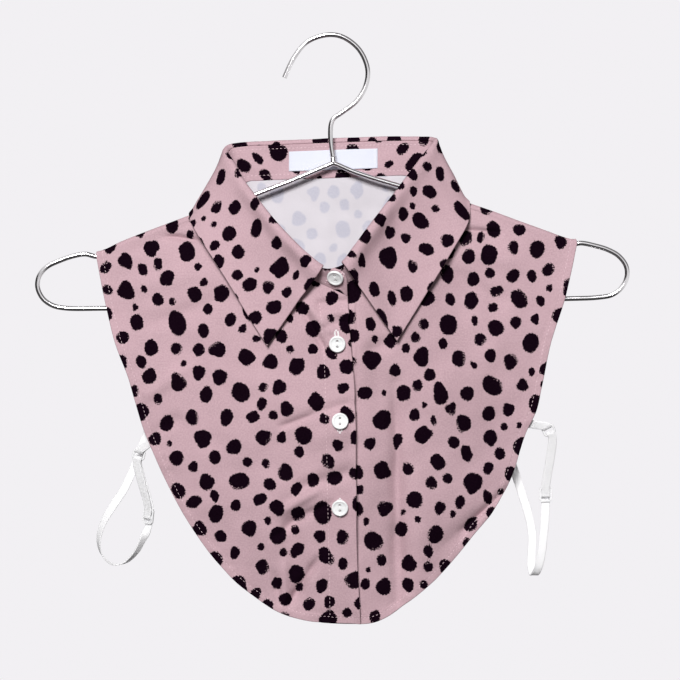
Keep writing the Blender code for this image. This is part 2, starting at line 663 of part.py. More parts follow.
def build_button(name, x, z, tree, plastic):
    """A turned button that lies on the cloth under it."""
    ahead_of_all = Vector((x, -BUTTON_WIDTH * 20, z))
    place, normal, _, _ = tree.ray_cast(ahead_of_all, Vector((0, 1, 0)))
    radius = BUTTON_WIDTH / 2
    shape = bmesh.new()
    corners = [
        shape.verts.new(((radius - inward) * MM, 0.0, height * MM))
        for inward, height in BUTTON_SECTION
    ]
    edges = [shape.edges.new(pair) for pair in zip(corners, corners[1:])]
    bmesh.ops.spin(
        shape, geom=corners + edges, cent=(0, 0, 0), axis=(0, 0, 1),
        angle=2 * math.pi, steps=BUTTON_SIDES, use_merge=True,
    )
    bmesh.ops.remove_doubles(shape, verts=shape.verts, dist=1e-6)
    bmesh.ops.recalc_face_normals(shape, faces=shape.faces)
    mesh = bpy.data.meshes.new(name)
    shape.to_mesh(mesh)
    shape.free()
    mesh.shade_smooth()
    mesh.set_sharp_from_angle(angle=math.radians(35))
    mesh.materials.append(plastic)
    thing = bpy.data.objects.new(name, mesh)
    bpy.context.scene.collection.objects.link(thing)
    thing.rotation_mode = "QUATERNION"
    thing.rotation_quaternion = normal.to_track_quat("Z", "Y")
    thing.location = (place + normal * (GAP + BUTTON_SEAT)) * MM


# ---------------------------------------------------------------- elastics


def fitting_axes(place):
    """Centre of a fitting with the ways down it, across it and out of it to the front."""
    centre, hang, turn = place
    hang, turn = math.radians(hang), math.radians(turn)
    down = np.array([math.sin(hang), 0.0, -math.cos(hang)])
    side = np.array([math.cos(turn), math.sin(turn), 0.0])
    side = unit(side - down * np.dot(side, down))
    front = np.cross(down, side)
    return np.array(centre), down, side, front


def in_fitting(place, rows):
    """Points given down a fitting and out of its face, as rows of place and band direction."""
    centre, down, side, front = fitting_axes(place)
    return [(*(centre + down * below + front * out), *side) for below, out in rows]


def slider_pass():
    """The running band: behind the lower bar, then over the middle and the upper one."""
    ahead, behind = LAYER_APART, -LAYER_APART
    below = [(8.0, -0.9), (4.6, behind), (3.2, behind), (2.2, 0.0)]
    return below + [(1.2, ahead), (0.0, ahead), (-5.0, ahead)]


def round_bar(start, stop):
    """Points of a band round a ring's bar: past the bar's centre, out of the ring's face."""
    angles = np.radians(np.linspace(start, stop, 5))
    return [(ROUND_BAR * math.sin(angle), ROUND_BAR * math.cos(angle)) for angle in angles]


def ring_pass():
    """The band through the ring: up in front, round the lower bar, and down behind."""
    bar = RING_INSIDE[1] / 2 + RING_WIRE / 2
    bend = [(bar - past, out) for past, out in round_bar(0, 180)]
    below = bar + 2 * RING_WIRE
    return [(below, RING_WIRE), *bend, (below, -RING_WIRE)]


def band_rows(free, slider, ring, side_sign):
    """The whole run of one elastic, as x, y, z and the direction of its width."""
    rows = []
    for x, y, z, face in free:
        turn = math.radians(face)
        rows.append((x, y, z, math.cos(turn), math.sin(turn), 0.0))
    flip = np.array([1, 1, 1, side_sign, side_sign, side_sign])
    end = [(-5.2, -LAYER_APART), (-0.4, -LAYER_APART)]
    for place, run in ((slider, slider_pass()), (ring, ring_pass()), (slider, end)):
        rows += [tuple(np.array(row) * flip) for row in in_fitting(place, run)]
    return rows


def band_section(rows):
    """Places, width and face directions along a band, closer together where it turns."""
    curve = Curve(rows)
    values = curve.points[bend_steps(curve.points[:, 0:3], *BAND_BENDS)]
    points, width = values[:, 0:3], values[:, 3:6]
    along = unit(np.gradient(points, axis=0))
    width = unit(width - along * np.sum(along * width, axis=1, keepdims=True))
    return points, width, np.cross(along, width)


def add_band(name, rows, material):
    """A flat elastic swept along its rows."""
    points, width, face = band_section(rows)
    half_wide, half_thick = BAND_WIDTH / 2, BAND_THICK / 2
    corners = [(-1, -1), (1, -1), (1, 1), (-1, 1)]
    rings = [points + a * half_wide * width + b * half_thick * face for a, b in corners]
    mesh_points = np.stack(rings, axis=1).reshape(-1, 3)
    faces = [(0, 1, 2, 3), tuple(len(mesh_points) - 4 + k for k in (3, 2, 1, 0))]
    for i in range(len(points) - 1):
        for k in range(4):
            here, there = 4 * i + k, 4 * i + (k + 1) % 4
            faces.append((here, here + 4, there + 4, there))
    return add_mesh(name, mesh_points, faces, material)


def tab_rows(start, ring):
    """A short folded tab from inside the front's edge, round the ring's upper bar."""
    centre, down, side, _ = fitting_axes(ring)
    start = np.array(start)
    bar = RING_INSIDE[1] / 2 + RING_WIRE / 2
    inner = in_fitting(ring, [(past - bar, out) for past, out in round_bar(0, 180)])
    pull = unit(start - (centre - down * bar))
    across = unit(side - pull * np.dot(side, pull))
    half_way = start - pull * (np.linalg.norm(start - centre) - bar) * 0.45
    ahead = np.array([0.0, -1.0, 0.0])
    runs = []
    for way in (1, -1):
        end = start + way * ahead * TAB_LAYERS / 2
        middle = half_way + way * ahead * (TAB_LAYERS / 2 + TAB_BULGE)
        runs.append([(*end, *across), (*middle, *across)])
    return runs[0] + inner + runs[1][::-1]


def add_ring(name, place, plastic):
    """A rounded oblong ring of plastic."""
    centre, down, side, _ = fitting_axes(place)
    half_wide = RING_INSIDE[0] / 2 + RING_WIRE / 2
    half_high = RING_INSIDE[1] / 2 + RING_WIRE / 2
    points = []
    for quarter, (across, along) in enumerate(((1, 1), (-1, 1), (-1, -1), (1, -1))):
        for step in (0.0, 0.5, 1.0):
            turn = (quarter + step) * math.pi / 2
            wide = across * (half_wide - RING_CORNER) + RING_CORNER * math.cos(turn)
            high = along * (half_high - RING_CORNER) + RING_CORNER * math.sin(turn)
            points.append(centre + side * wide + down * high)
    shape = bpy.data.curves.new(name, "CURVE")
    shape.dimensions = "3D"
    shape.bevel_depth = RING_WIRE / 2 * MM
    shape.bevel_resolution = 2
    line = shape.splines.new("POLY")
    line.points.add(len(points) - 1)
    for place_on, point in zip(line.points, points):
        place_on.co = (*(Vector(point) * MM), 1.0)
    line.use_cyclic_u = True
    shape.materials.append(plastic)
    thing = bpy.data.objects.new(name, shape)
    bpy.context.scene.collection.objects.link(thing)


def add_slider(name, place, plastic):
    """A plate with two slots and a bar between them."""
    centre, down, side, _ = fitting_axes(place)
    half_wide, half_high = SLIDER_SIZE[0] / 2, SLIDER_SIZE[1] / 2
    slot_wide, slot_high = SLIDER_SLOT[0] / 2, SLIDER_SLOT[1]
    bar = (SLIDER_SIZE[1] - 2 * slot_high) / 3
    across = [-half_wide, -slot_wide, slot_wide, half_wide]
    along = [-half_high, -half_high + bar, -bar / 2, bar / 2, half_high - bar, half_high]
    shape = bmesh.new()
    corners = [[shape.verts.new((a * MM, b * MM, 0.0)) for a in across] for b in along]
    for row in range(5):
        for column in range(3):
            if column == 1 and row in (1, 3):
                continue
            shape.faces.new((
                corners[row][column], corners[row][column + 1],
                corners[row + 1][column + 1], corners[row + 1][column],
            ))
    mesh = bpy.data.meshes.new(name)
    shape.to_mesh(mesh)
    shape.free()
    mesh.materials.append(plastic)
    thing = bpy.data.objects.new(name, mesh)
    bpy.context.scene.collection.objects.link(thing)
    axes = Matrix([side, -down, np.cross(side, -down)]).transposed().to_4x4()
    thing.matrix_world = Matrix.Translation(Vector(centre) * MM) @ axes
    thick = thing.modifiers.new("thickness", "SOLIDIFY")
    thick.thickness = SLIDER_THICK * MM
    thick.offset = 0.0
    soft = thing.modifiers.new("soft edges", "BEVEL")
    soft.width = SLIDER_EDGE * MM
    soft.segments = 1
    soft.limit_method = "ANGLE"


def build_elastics(elastic, plastic):
    add_slider("slider_right", SLIDER_RIGHT, plastic)
    add_slider("slider_left", SLIDER_LEFT, plastic)
    add_ring("ring_right", RING_RIGHT, plastic)
    add_ring("ring_left", RING_LEFT, plastic)
    add_band("strap_right", band_rows(BAND_RIGHT, SLIDER_RIGHT, RING_RIGHT, -1), elastic)
    add_band("strap_left", band_rows(BAND_LEFT, SLIDER_LEFT, RING_LEFT, 1), elastic)
    add_band("tab_right", tab_rows(TAB_RIGHT_START, RING_RIGHT), elastic)
    add_band("tab_left", tab_rows(TAB_LEFT_START, RING_LEFT), elastic)


# ---------------------------------------------------------------- the whole part


def hold_all():
    """Every piece hangs on one empty at the origin."""
    things = list(bpy.context.scene.collection.objects)
    holder = bpy.data.objects.new("collar_on_hanger", None)
    bpy.context.scene.collection.objects.link(holder)
    for thing in things:
        thing.parent = holder


def main():
    clear_scene()
    cloth = finish("spotted_cotton", (0.55, 0.36, 0.38), 0.85)
    woven = finish("woven_label", (0.82, 0.82, 0.84), 0.8)
    elastic = finish("white_elastic", (0.85, 0.85, 0.85), 0.75)
    plastic = finish("white_plastic", (0.86, 0.86, 0.85), 0.3)
    steel = finish("bright_steel", (0.62, 0.61, 0.6), 0.2, 1.0)

    build_hanger(steel)
    right, right_normals = front_grid(False, *FRONT_STEPS)
    left, left_normals = front_grid(True, *FRONT_STEPS)
    back, back_normals = back_grid(*BACK_STEPS)
    wall("front_right", right, right_normals, PANEL_WALL, cloth)
    wall("front_left", left, left_normals, PANEL_WALL, cloth)
    wall("back_panel", back, back_normals, PANEL_WALL, cloth)

    stations = collar_stations()
    stand, stand_normals = stand_grid(stations, STAND_STEPS)
    wall("collar_stand", stand, stand_normals, COLLAR_WALL, cloth)
    panels = tree_of([
        (right, right_normals), (left, left_normals), (back, back_normals),
        shoulder_roll(SHOULDER_RIGHT, False), shoulder_roll(SHOULDER_LEFT, True),
    ])
    leaf, leaf_normals = leaf_grid(stations, LEAF_STEPS, panels)
    wall("collar_leaf", leaf, leaf_normals, COLLAR_WALL, cloth)
    build_label(stand, stand_normals, woven)

    outer = tree_of([
        (right + right_normals * PANEL_WALL / 2, right_normals),
        (stand + stand_normals * COLLAR_WALL / 2, stand_normals),
    ])
    for name, x, z in BUTTONS:
        build_button(name, x, z, outer, plastic)
    build_elastics(elastic, plastic)
    hold_all()


main()
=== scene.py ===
"""Looks of a detachable shirt collar on a bent wire hanger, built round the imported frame.

Tables and sizes are in millimetres and become metres as each mesh is made. +X is the
wearer's left, -Y the front, +Z up. The origin is the inside top of the hook.
"""

import json
import math

import bmesh
import bpy
import numpy as np
from mathutils import Matrix, Vector
from mathutils.bvhtree import BVHTree
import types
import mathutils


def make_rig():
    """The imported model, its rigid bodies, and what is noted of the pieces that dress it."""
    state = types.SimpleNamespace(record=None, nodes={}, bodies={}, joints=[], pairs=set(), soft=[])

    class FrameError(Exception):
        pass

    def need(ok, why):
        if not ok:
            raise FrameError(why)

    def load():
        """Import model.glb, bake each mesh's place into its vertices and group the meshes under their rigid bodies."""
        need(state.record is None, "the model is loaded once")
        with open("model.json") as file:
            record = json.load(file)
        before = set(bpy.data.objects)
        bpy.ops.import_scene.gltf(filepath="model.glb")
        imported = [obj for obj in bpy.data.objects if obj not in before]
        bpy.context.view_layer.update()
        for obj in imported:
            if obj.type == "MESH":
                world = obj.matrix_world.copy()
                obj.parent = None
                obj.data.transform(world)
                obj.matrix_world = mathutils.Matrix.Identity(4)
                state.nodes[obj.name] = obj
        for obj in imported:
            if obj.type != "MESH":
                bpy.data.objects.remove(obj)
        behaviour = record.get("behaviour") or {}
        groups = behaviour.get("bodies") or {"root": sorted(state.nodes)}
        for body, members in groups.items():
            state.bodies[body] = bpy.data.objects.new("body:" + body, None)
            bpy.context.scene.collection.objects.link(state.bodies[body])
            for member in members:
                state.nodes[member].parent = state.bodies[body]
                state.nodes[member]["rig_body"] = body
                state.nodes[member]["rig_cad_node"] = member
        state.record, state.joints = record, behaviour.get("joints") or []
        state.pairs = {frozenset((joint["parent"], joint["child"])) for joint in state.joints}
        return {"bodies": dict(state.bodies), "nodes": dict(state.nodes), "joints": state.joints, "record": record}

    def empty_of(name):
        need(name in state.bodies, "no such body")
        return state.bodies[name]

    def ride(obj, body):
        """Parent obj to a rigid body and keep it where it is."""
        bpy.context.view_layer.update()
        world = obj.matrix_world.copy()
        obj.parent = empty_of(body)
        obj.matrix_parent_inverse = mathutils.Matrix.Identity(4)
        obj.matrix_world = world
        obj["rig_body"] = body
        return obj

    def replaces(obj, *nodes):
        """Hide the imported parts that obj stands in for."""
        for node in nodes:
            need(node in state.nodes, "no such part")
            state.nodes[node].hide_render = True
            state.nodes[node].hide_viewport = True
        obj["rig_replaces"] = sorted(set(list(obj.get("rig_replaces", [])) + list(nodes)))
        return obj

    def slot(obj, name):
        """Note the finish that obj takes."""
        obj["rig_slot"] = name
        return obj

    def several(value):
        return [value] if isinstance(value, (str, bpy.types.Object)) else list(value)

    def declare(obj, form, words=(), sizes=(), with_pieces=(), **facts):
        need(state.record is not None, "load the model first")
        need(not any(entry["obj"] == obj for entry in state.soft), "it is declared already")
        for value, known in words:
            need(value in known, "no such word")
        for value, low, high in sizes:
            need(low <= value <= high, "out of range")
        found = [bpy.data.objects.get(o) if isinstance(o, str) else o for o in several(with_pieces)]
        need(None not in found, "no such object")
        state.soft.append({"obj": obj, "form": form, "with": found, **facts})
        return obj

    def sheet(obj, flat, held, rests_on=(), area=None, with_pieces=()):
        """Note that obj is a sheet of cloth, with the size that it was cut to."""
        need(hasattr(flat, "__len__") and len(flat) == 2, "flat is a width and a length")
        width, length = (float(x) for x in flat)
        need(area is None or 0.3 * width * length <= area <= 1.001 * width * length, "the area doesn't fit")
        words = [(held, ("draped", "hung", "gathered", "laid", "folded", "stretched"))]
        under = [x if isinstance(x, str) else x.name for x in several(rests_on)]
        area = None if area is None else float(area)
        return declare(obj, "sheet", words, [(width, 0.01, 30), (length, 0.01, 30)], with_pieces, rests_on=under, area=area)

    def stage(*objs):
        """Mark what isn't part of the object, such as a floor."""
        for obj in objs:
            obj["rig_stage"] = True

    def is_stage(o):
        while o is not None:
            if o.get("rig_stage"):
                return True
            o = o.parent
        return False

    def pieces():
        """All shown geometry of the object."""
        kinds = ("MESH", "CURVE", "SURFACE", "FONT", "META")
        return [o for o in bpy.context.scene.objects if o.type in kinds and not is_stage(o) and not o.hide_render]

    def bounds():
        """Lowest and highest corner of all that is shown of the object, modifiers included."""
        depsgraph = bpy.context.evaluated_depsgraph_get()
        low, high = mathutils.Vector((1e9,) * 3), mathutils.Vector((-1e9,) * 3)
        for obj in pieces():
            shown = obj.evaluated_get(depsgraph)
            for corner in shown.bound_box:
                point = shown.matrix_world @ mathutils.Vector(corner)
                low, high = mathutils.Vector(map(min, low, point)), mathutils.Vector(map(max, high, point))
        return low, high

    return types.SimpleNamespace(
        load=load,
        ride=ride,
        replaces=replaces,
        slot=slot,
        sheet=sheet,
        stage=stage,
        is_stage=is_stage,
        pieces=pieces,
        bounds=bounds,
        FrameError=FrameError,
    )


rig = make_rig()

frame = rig.load()
CAD_BOX = [list(corner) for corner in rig.bounds()]

MM = 0.001

# Camera: level, square to the front. Its sensor's width is in millimetres
CAMERA_AT = (0.0062, -2.0, -0.2089)
CAMERA_LENS = 153.45
SENSOR_WIDTH = 36.0

# Floor and background
FLOOR_AT = -0.64
FLOOR_RADIUS = 1.5

# ---- Sizes and tables that the solids share

TO_FRONT = (0, -1, 0)
TO_BACK = (0, 1, 0)
FAR_IN_FRONT = -300.0

PANEL_WALL = 1.2
COLLAR_WALL = 1.5
WIRE = 3.4
WIRE_ROOM = 0.55
SHOULDER_RADIUS = WIRE / 2 + WIRE_ROOM + PANEL_WALL / 2
ARM_LOWEST = -152.0

BUTTON_WIDTH = 11.4
BAND_WIDTH = 5.8
BAND_THICK = 0.8
RING_INSIDE = (6.4, 4.2)
RING_WIRE = 1.3
RING_CORNER = 1.1
RING_HALF = (RING_INSIDE[0] / 2 + RING_WIRE / 2, RING_INSIDE[1] / 2 + RING_WIRE / 2)
SLIDER_SIZE = (8.8, 10.4)
SLIDER_SLOT = (6.6, 3.0)
SLIDER_THICK = 1.2
SLIDER_CORNER = 1.0
SLIDER_EDGE = 0.3
LAYER_APART = 1.42
BAND_CLEAR = 0.5
ROUND_BAR = RING_WIRE / 2 + BAND_THICK / 2 + BAND_CLEAR
TAB_LAYERS = BAND_THICK + 0.35
TAB_BULGE = 0.15

# Label on the inside of the stand: its ends across, and its share of the stand's height
LABEL_ENDS = (-29.2, 32.3)
LABEL_SPAN = (0.23, 0.79)

# Hook centreline: x, z
HOOK = [
    (-32.1, -27.9), (-24.8, -12.8), (-16.1, -2.9), (-2.6, 1.7), (8.1, 0.2), (19.3, -8.3),
    (25.2, -21.5), (24.1, -33.0), (17.8, -43.8), (7.2, -52.1), (2.0, -55.8), (0.2, -59.6),
    (-0.4, -66.0), (0.0, -74.0), (1.0, -80.5), (1.6, -86.4),
]

# Hanger loop centreline, from its peak round by the wearer's right: x, z
LOOP = [
    (1.7, -87.2), (-3.4, -88.9), (-10.7, -92.0), (-28.3, -99.4), (-52.4, -108.7), (-80.0, -119.5),
    (-104.9, -129.0), (-125.6, -136.8), (-143.5, -143.9), (-154.6, -149.2), (-161.8, -151.2),
    (-169.4, -149.6), (-177.5, -150.8), (-187.5, -154.2), (-196.3, -158.6), (-201.4, -165.0),
    (-202.4, -172.5), (-198.8, -180.2), (-192.3, -184.9), (-184.0, -186.8), (-155.0, -187.0),
    (0.0, -183.9), (161.0, -180.4), (185.0, -179.4), (194.0, -177.6), (200.6, -172.6),
    (204.2, -165.2), (203.6, -157.8), (198.4, -150.8), (190.6, -146.4), (182.0, -143.8),
    (173.0, -142.0), (166.4, -142.6), (158.0, -140.4), (147.7, -136.6), (128.3, -129.6),
    (109.0, -122.5), (78.7, -112.4), (50.7, -103.7), (26.9, -96.6), (13.9, -92.1), (6.8, -89.0),
]

# Where the neck seam crosses the wire, and where each shoulder ends: x
SHOULDER_RIGHT = (-66.6, -161.8)
SHOULDER_LEFT = (67.4, 169.6)

# Collar sections from the outer lap round the back to the inner lap. Each row has the
# neck seam, the fold and the leaf's free edge (x, y, z each), how far the stand starts
# above the seam, and how far the fold stands above the top of the stand.
COLLAR = [
    ((11.4, -38.0, -178.4), (10.8, -46.6, -163.2), (-43.2, -37.0, -212.9), 1.1, 0.0),
    ((3.5, -38.0, -174.5), (2.8, -47.8, -159.9), (-43.2, -37.0, -212.9), 1.1, 0.6),
    ((-9.4, -37.5, -168.4), (-4.4, -48.0, -158.0), (-43.2, -37.0, -212.9), 1.1, 2.9),
    ((-24.3, -34.0, -162.7), (-15.4, -44.5, -149.5), (-54.2, -33.0, -196.0), 1.1, 3.1),
    ((-38.0, -29.0, -154.8), (-27.6, -38.5, -137.8), (-64.5, -29.0, -178.9), 1.1, 3.3),
    ((-49.0, -23.0, -144.1), (-40.0, -30.5, -123.9), (-74.2, -25.0, -163.2), 0.9, 3.4),
    ((-57.4, -16.5, -132.2), (-51.1, -22.5, -109.6), (-84.3, -20.0, -147.7), 1.1, 3.4),
    ((-62.5, -9.0, -121.6), (-59.4, -14.5, -98.2), (-92.8, -13.0, -134.5), 1.2, 3.4),
    ((-65.4, 0.0, -111.2), (-67.1, -5.5, -85.0), (-97.0, -5.4, -125.6), 1.2, 3.4),
    ((-63.3, 5.0, -103.4), (-72.1, 1.0, -77.2), (-97.0, 0.5, -121.2), 1.1, 3.4),
    ((-57.5, 7.0, -99.1), (-70.3, 6.3, -73.4), (-92.1, 6.0, -117.9), 0.75, 3.4),
    ((-49.9, 7.5, -98.4), (-61.7, 8.3, -71.7), (-80.5, 10.0, -115.9), 0.75, 3.4),
    ((-31.9, 7.5, -97.6), (-40.9, 8.5, -70.6), (-52.8, 13.0, -115.8), 0.75, 3.4),
    ((2.1, 7.5, -96.5), (2.1, 8.5, -68.7), (2.0, 14.0, -114.7), 0.75, 3.4),
    ((33.9, 7.5, -95.3), (42.2, 8.5, -67.7), (56.2, 13.0, -112.7), 0.75, 3.4),
    ((51.2, 7.5, -94.9), (61.6, 8.3, -67.7), (81.1, 10.0, -111.4), 0.75, 3.4),
    ((58.8, 7.0, -96.3), (69.9, 6.3, -68.0), (92.0, 6.0, -113.0), 0.75, 3.4),
    ((64.3, 5.0, -99.6), (71.4, 1.0, -70.0), (94.6, 0.5, -114.6), 1.1, 3.4),
    ((66.2, 0.0, -105.7), (63.0, -5.5, -80.9), (95.6, -5.4, -120.6), 1.2, 3.4),
    ((63.2, -9.0, -115.4), (53.8, -14.5, -93.2), (93.3, -13.0, -130.4), 1.2, 3.4),
    ((57.2, -16.5, -126.7), (44.1, -22.5, -106.2), (84.8, -20.0, -145.0), 1.1, 3.4),
    ((47.1, -23.0, -138.6), (34.2, -30.5, -119.3), (75.4, -25.0, -160.5), 0.9, 3.4),
    ((37.5, -28.5, -149.3), (24.6, -37.0, -132.1), (65.7, -29.0, -176.2), 1.1, 3.3),
    ((25.9, -32.0, -158.6), (15.7, -42.0, -143.9), (55.4, -33.0, -192.9), 1.1, 3.1),
    ((12.3, -34.0, -168.5), (6.9, -45.6, -155.6), (44.8, -37.0, -209.5), 1.1, 2.9),
    ((2.8, -33.0, -173.6), (0.1, -43.9, -160.0), (44.8, -37.0, -209.5), 1.1, 0.6),
    ((-4.0, -31.0, -176.6), (-5.6, -40.8, -163.0), (44.8, -37.0, -209.5), 1.1, 0.0),
]
POINT_RIGHT, CROSS_RIGHT, CENTRE_BACK, CROSS_LEFT, POINT_LEFT = 2, 8, 13, 18, 24

# Neck seams start this many table rows before or behind the crossing of the wire
FRONT_FROM_CROSS = 0.26
BACK_FROM_CROSS = 0.45

# How the rows of a front crowd towards the shoulder, along the neck and along the armhole
NECK_CROWDING = 1.15
EDGE_CROWDING = 0.93

# Leaf: its roll below and out of the fold, its sag, and the share of its run where each changes
ROLL_DROP = 3.0
ROLL_OUT = 3.8
ROLL_OUT_AT_POINTS = 2.0
SAG_BACK = 0.6
SAG_SIDES = 4.2
SAG_LOST_AT_POINTS = 2.4
SIDES_SPAN = (0.35, 0.8)
POINTS_SPAN = (0.86, 1.0)

# Between the roll and the free edge: share of the way, share of the sag
LEAF_SAGS = [(0.17, 0.9), (0.4, 1.1), (0.7, 0.8)]

# Share of the rows in from a shoulder over which the fronts' and the back's form sets in
FRONT_SETTLES = 0.12
BACK_SETTLES = 0.1

# Armhole and hem of each front, from the shoulder's end to the foot of the front edge: x, y, z
FRONT_RIGHT_EDGE = [
    (-154.8, -6.0, -186.2), (-148.6, -8.0, -210.2), (-138.7, -9.0, -236.3), (-134.4, -10.0, -252.0),
    (-127.9, -10.0, -272.7), (-121.6, -11.0, -287.0), (-113.0, -12.0, -306.8), (-94.6, -14.0, -339.0),
    (-81.0, -15.0, -357.7), (-58.2, -17.0, -380.3), (-36.5, -18.0, -394.4), (-16.4, -18.0, -400.7),
    (5.0, -18.0, -402.4), (20.4, -18.0, -402.8),
]
FRONT_LEFT_EDGE = [
    (161.3, -6.0, -179.6), (150.9, -8.0, -212.7), (145.2, -9.0, -239.8), (141.1, -10.0, -256.9),
    (134.2, -10.0, -272.0), (126.8, -11.0, -295.5), (122.6, -12.0, -306.0), (111.9, -13.0, -325.0),
    (102.8, -14.0, -336.0), (84.6, -15.0, -358.9), (69.8, -17.0, -374.6), (51.5, -18.0, -389.3),
    (38.0, -18.0, -398.6), (28.0, -18.0, -402.4), (12.0, -18.0, -402.8), (-7.0, -18.0, -402.0),
]

# The same round the back panel, from shoulder to shoulder: x, y, z
BACK_EDGE = [
    (-157.0, 5.0, -174.0), (-144.8, 8.0, -215.8), (-131.1, 9.5, -257.4), (-113.8, 10.0, -299.0),
    (-88.0, 11.0, -342.0), (-50.0, 11.0, -378.5), (2.7, 11.0, -394.8), (54.0, 11.0, -379.5),
    (92.0, 10.5, -345.5), (119.0, 10.0, -303.0), (134.8, 9.5, -265.0), (150.0, 7.5, -207.0),
    (162.5, 5.0, -168.0),
]

# Front edge that laps over, as its bow off a straight line: share of its length, x
LAP_BOW = [(0.0, 0.0), (0.12, 0.6), (0.3, 2.2), (0.55, 0.9), (0.8, -0.6), (1.0, 0.0)]

# How the two fronts lie on each other where they lap, down the lap: share, forward by
LAP_OVER = [(0.0, 0.0), (0.15, 0.3), (0.6, 1.2), (1.0, 1.8)]
LAP_UNDER = [(0.0, 0.0), (0.08, 1.4), (0.3, 2.0), (0.7, 1.2), (1.0, 0.0)]
LAP_PARTS = {False: (LAP_OVER, -24.0, -9.0), True: (LAP_UNDER, 34.0, 19.0)}

# Rounded top corner of the outer lap: how far it runs in table rows, and the share cut off its end
LAP_ROUND = 0.6
LAP_END_CUT = 0.3

# A fold keeps its height over its middle half and fades past that, by this share of its length
FOLD_MIDDLE = 0.25
FOLD_FADE = 0.3

# Folds of the fronts: x, z of both ends, half width, height (+ stands out, - is a trough)
FOLDS = [
    (44.0, -262.0, 45.5, -392.0, 8.0, -2.6),
    (62.0, -300.0, 60.0, -372.0, 9.0, 1.4),
    (-29.0, -318.0, -21.0, -392.0, 8.0, -2.4),
    (-46.0, -300.0, -40.0, -384.0, 9.0, 1.5),
    (-126.0, -276.0, -104.0, -262.0, 4.5, -2.0),
    (104.0, -326.0, 76.0, -352.0, 6.0, -1.8),
    (-50.0, -232.0, -64.0, -290.0, 16.0, 2.4),
    (70.0, -232.0, 84.0, -284.0, 16.0, 2.2),
    (-8.0, -186.0, 10.0, -198.0, 4.0, -1.4),
]

# Folds of the back panel, as above (- stands out at the back)
BACK_FOLDS = [
    (-62.0, -170.0, -52.0, -350.0, 18.0, -2.4),
    (48.0, -180.0, 40.0, -360.0, 16.0, -2.0),
    (-6.0, -150.0, 0.0, -330.0, 14.0, 1.8),
]

# Buttons down the front: name, x, z
BUTTONS = [
    ("button_collar", 3.2, -166.4),
    ("button_front_1", 4.4, -211.6),
    ("button_front_2", 6.1, -264.0),
    ("button_front_3", 6.2, -322.7),
]

# Elastic bands: x, y, z and the way the band's width points, in degrees from +X towards +Y
BAND_RIGHT = [
    (-121.5, 8.0, -256.0, 0), (-124.0, 7.3, -264.8, 0), (-127.0, 5.8, -273.2, 0),
    (-130.2, 4.0, -281.4, 0), (-133.2, 2.4, -289.4, -4), (-136.2, 1.0, -297.4, -8),
    (-139.2, -0.6, -304.4, -10), (-143.2, -2.2, -312.6, -12), (-150.8, -3.6, -324.2, -20),
    (-157.2, -4.0, -335.6, -40), (-160.0, -4.0, -347.3, -62), (-157.6, -4.0, -357.0, -82),
    (-150.6, -4.0, -363.2, -96), (-141.8, -4.2, -362.2, -112), (-133.9, -4.6, -354.6, -128),
    (-129.2, -5.0, -345.6, -140),
]
BAND_LEFT = [
    (121.0, 7.8, -278.5, 0), (123.4, 7.6, -288.0, 0), (127.6, 6.9, -301.4, 0),
    (132.4, 5.4, -316.0, 0), (136.8, 4.4, -330.6, 0), (139.2, 4.0, -343.6, 0),
    (138.8, 3.2, -355.6, 4), (138.4, 1.2, -365.0, 6), (139.8, -3.0, -370.6, 8),
    (142.2, -7.4, -366.2, 6), (144.6, -9.4, -355.1, 4), (146.2, -9.2, -341.0, 0),
    (147.2, -8.0, -329.4, 0),
]

# Fittings: centre x, y, z, degrees it hangs off plumb in the front view, degrees turned about plumb
SLIDER_RIGHT = ((-125.6, -5.5, -330.2), -6.0, -35.0)
SLIDER_LEFT = ((147.6, -6.6, -315.0), 0.0, 0.0)
RING_RIGHT = ((-132.2, -6.4, -287.8), -12.0, -8.0)
RING_LEFT = ((149.8, -6.8, -270.9), 28.0, 0.0)
TAB_RIGHT_START = (-122.4, -7.9, -277.2)
TAB_LEFT_START = (134.6, -7.8, -266.2)

# ---- Sizes of the sewing and the cloth

# The cloth's two faces, out and in from the middle of the solid's wall
FACE_OUT = 0.45
FACE_IN = 0.15
HEM_OUT = 0.6
HEM_IN = 0.5
HEM_WIDTH = 5.7
HEM_STEP = (5.5, 5.9)
COLLAR_FACE = 0.72
EDGE_RADIUS = 0.5
EDGE_LEAST = 0.12

# Places across a hem that get a row of points, in from its edge
HEM_MARKS = (0.0, 0.15, 0.4, 0.9, 1.7, 2.7, 3.6, 4.1, 4.5, 4.9, 5.5, 5.9, 6.6, 7.6)
STITCH_IN = 4.5
EDGE_MARKS = (0.0, 0.15, 0.4, 0.9, 1.7)

# Fineness: points along and across the fronts and the back, before and after they are spread
# evenly, and where only a search tree needs them
DENSE = (300, 260)
FRONT_POINTS = (205, 140)
BACK_POINTS = (260, 130)
FRONT_COARSE = (90, 70)
BACK_COARSE = (110, 60)
SHOULDER_STEPS = 10

# Stitches: length of one, gap to the next, thickness
STITCH = (2.1, 0.7, 0.36)

# Its form: place from end to end, and share of the thickness there
STITCH_RINGS = [(-1.0, 0.25), (-0.86, 0.8), (-0.5, 1.0), (0.0, 1.05), (0.5, 1.0), (0.86, 0.8), (1.0, 0.25)]
STITCH_SIDES = 6

# The stitch line of the placket down the outer front: x, z
PLACKET_SEAM = [(-8.0, -181.8), (-4.9, -214.3), (-3.0, -276.6), (-1.7, -339.5), (-0.6, -399.0)]
PLACKET_RISE = 0.4

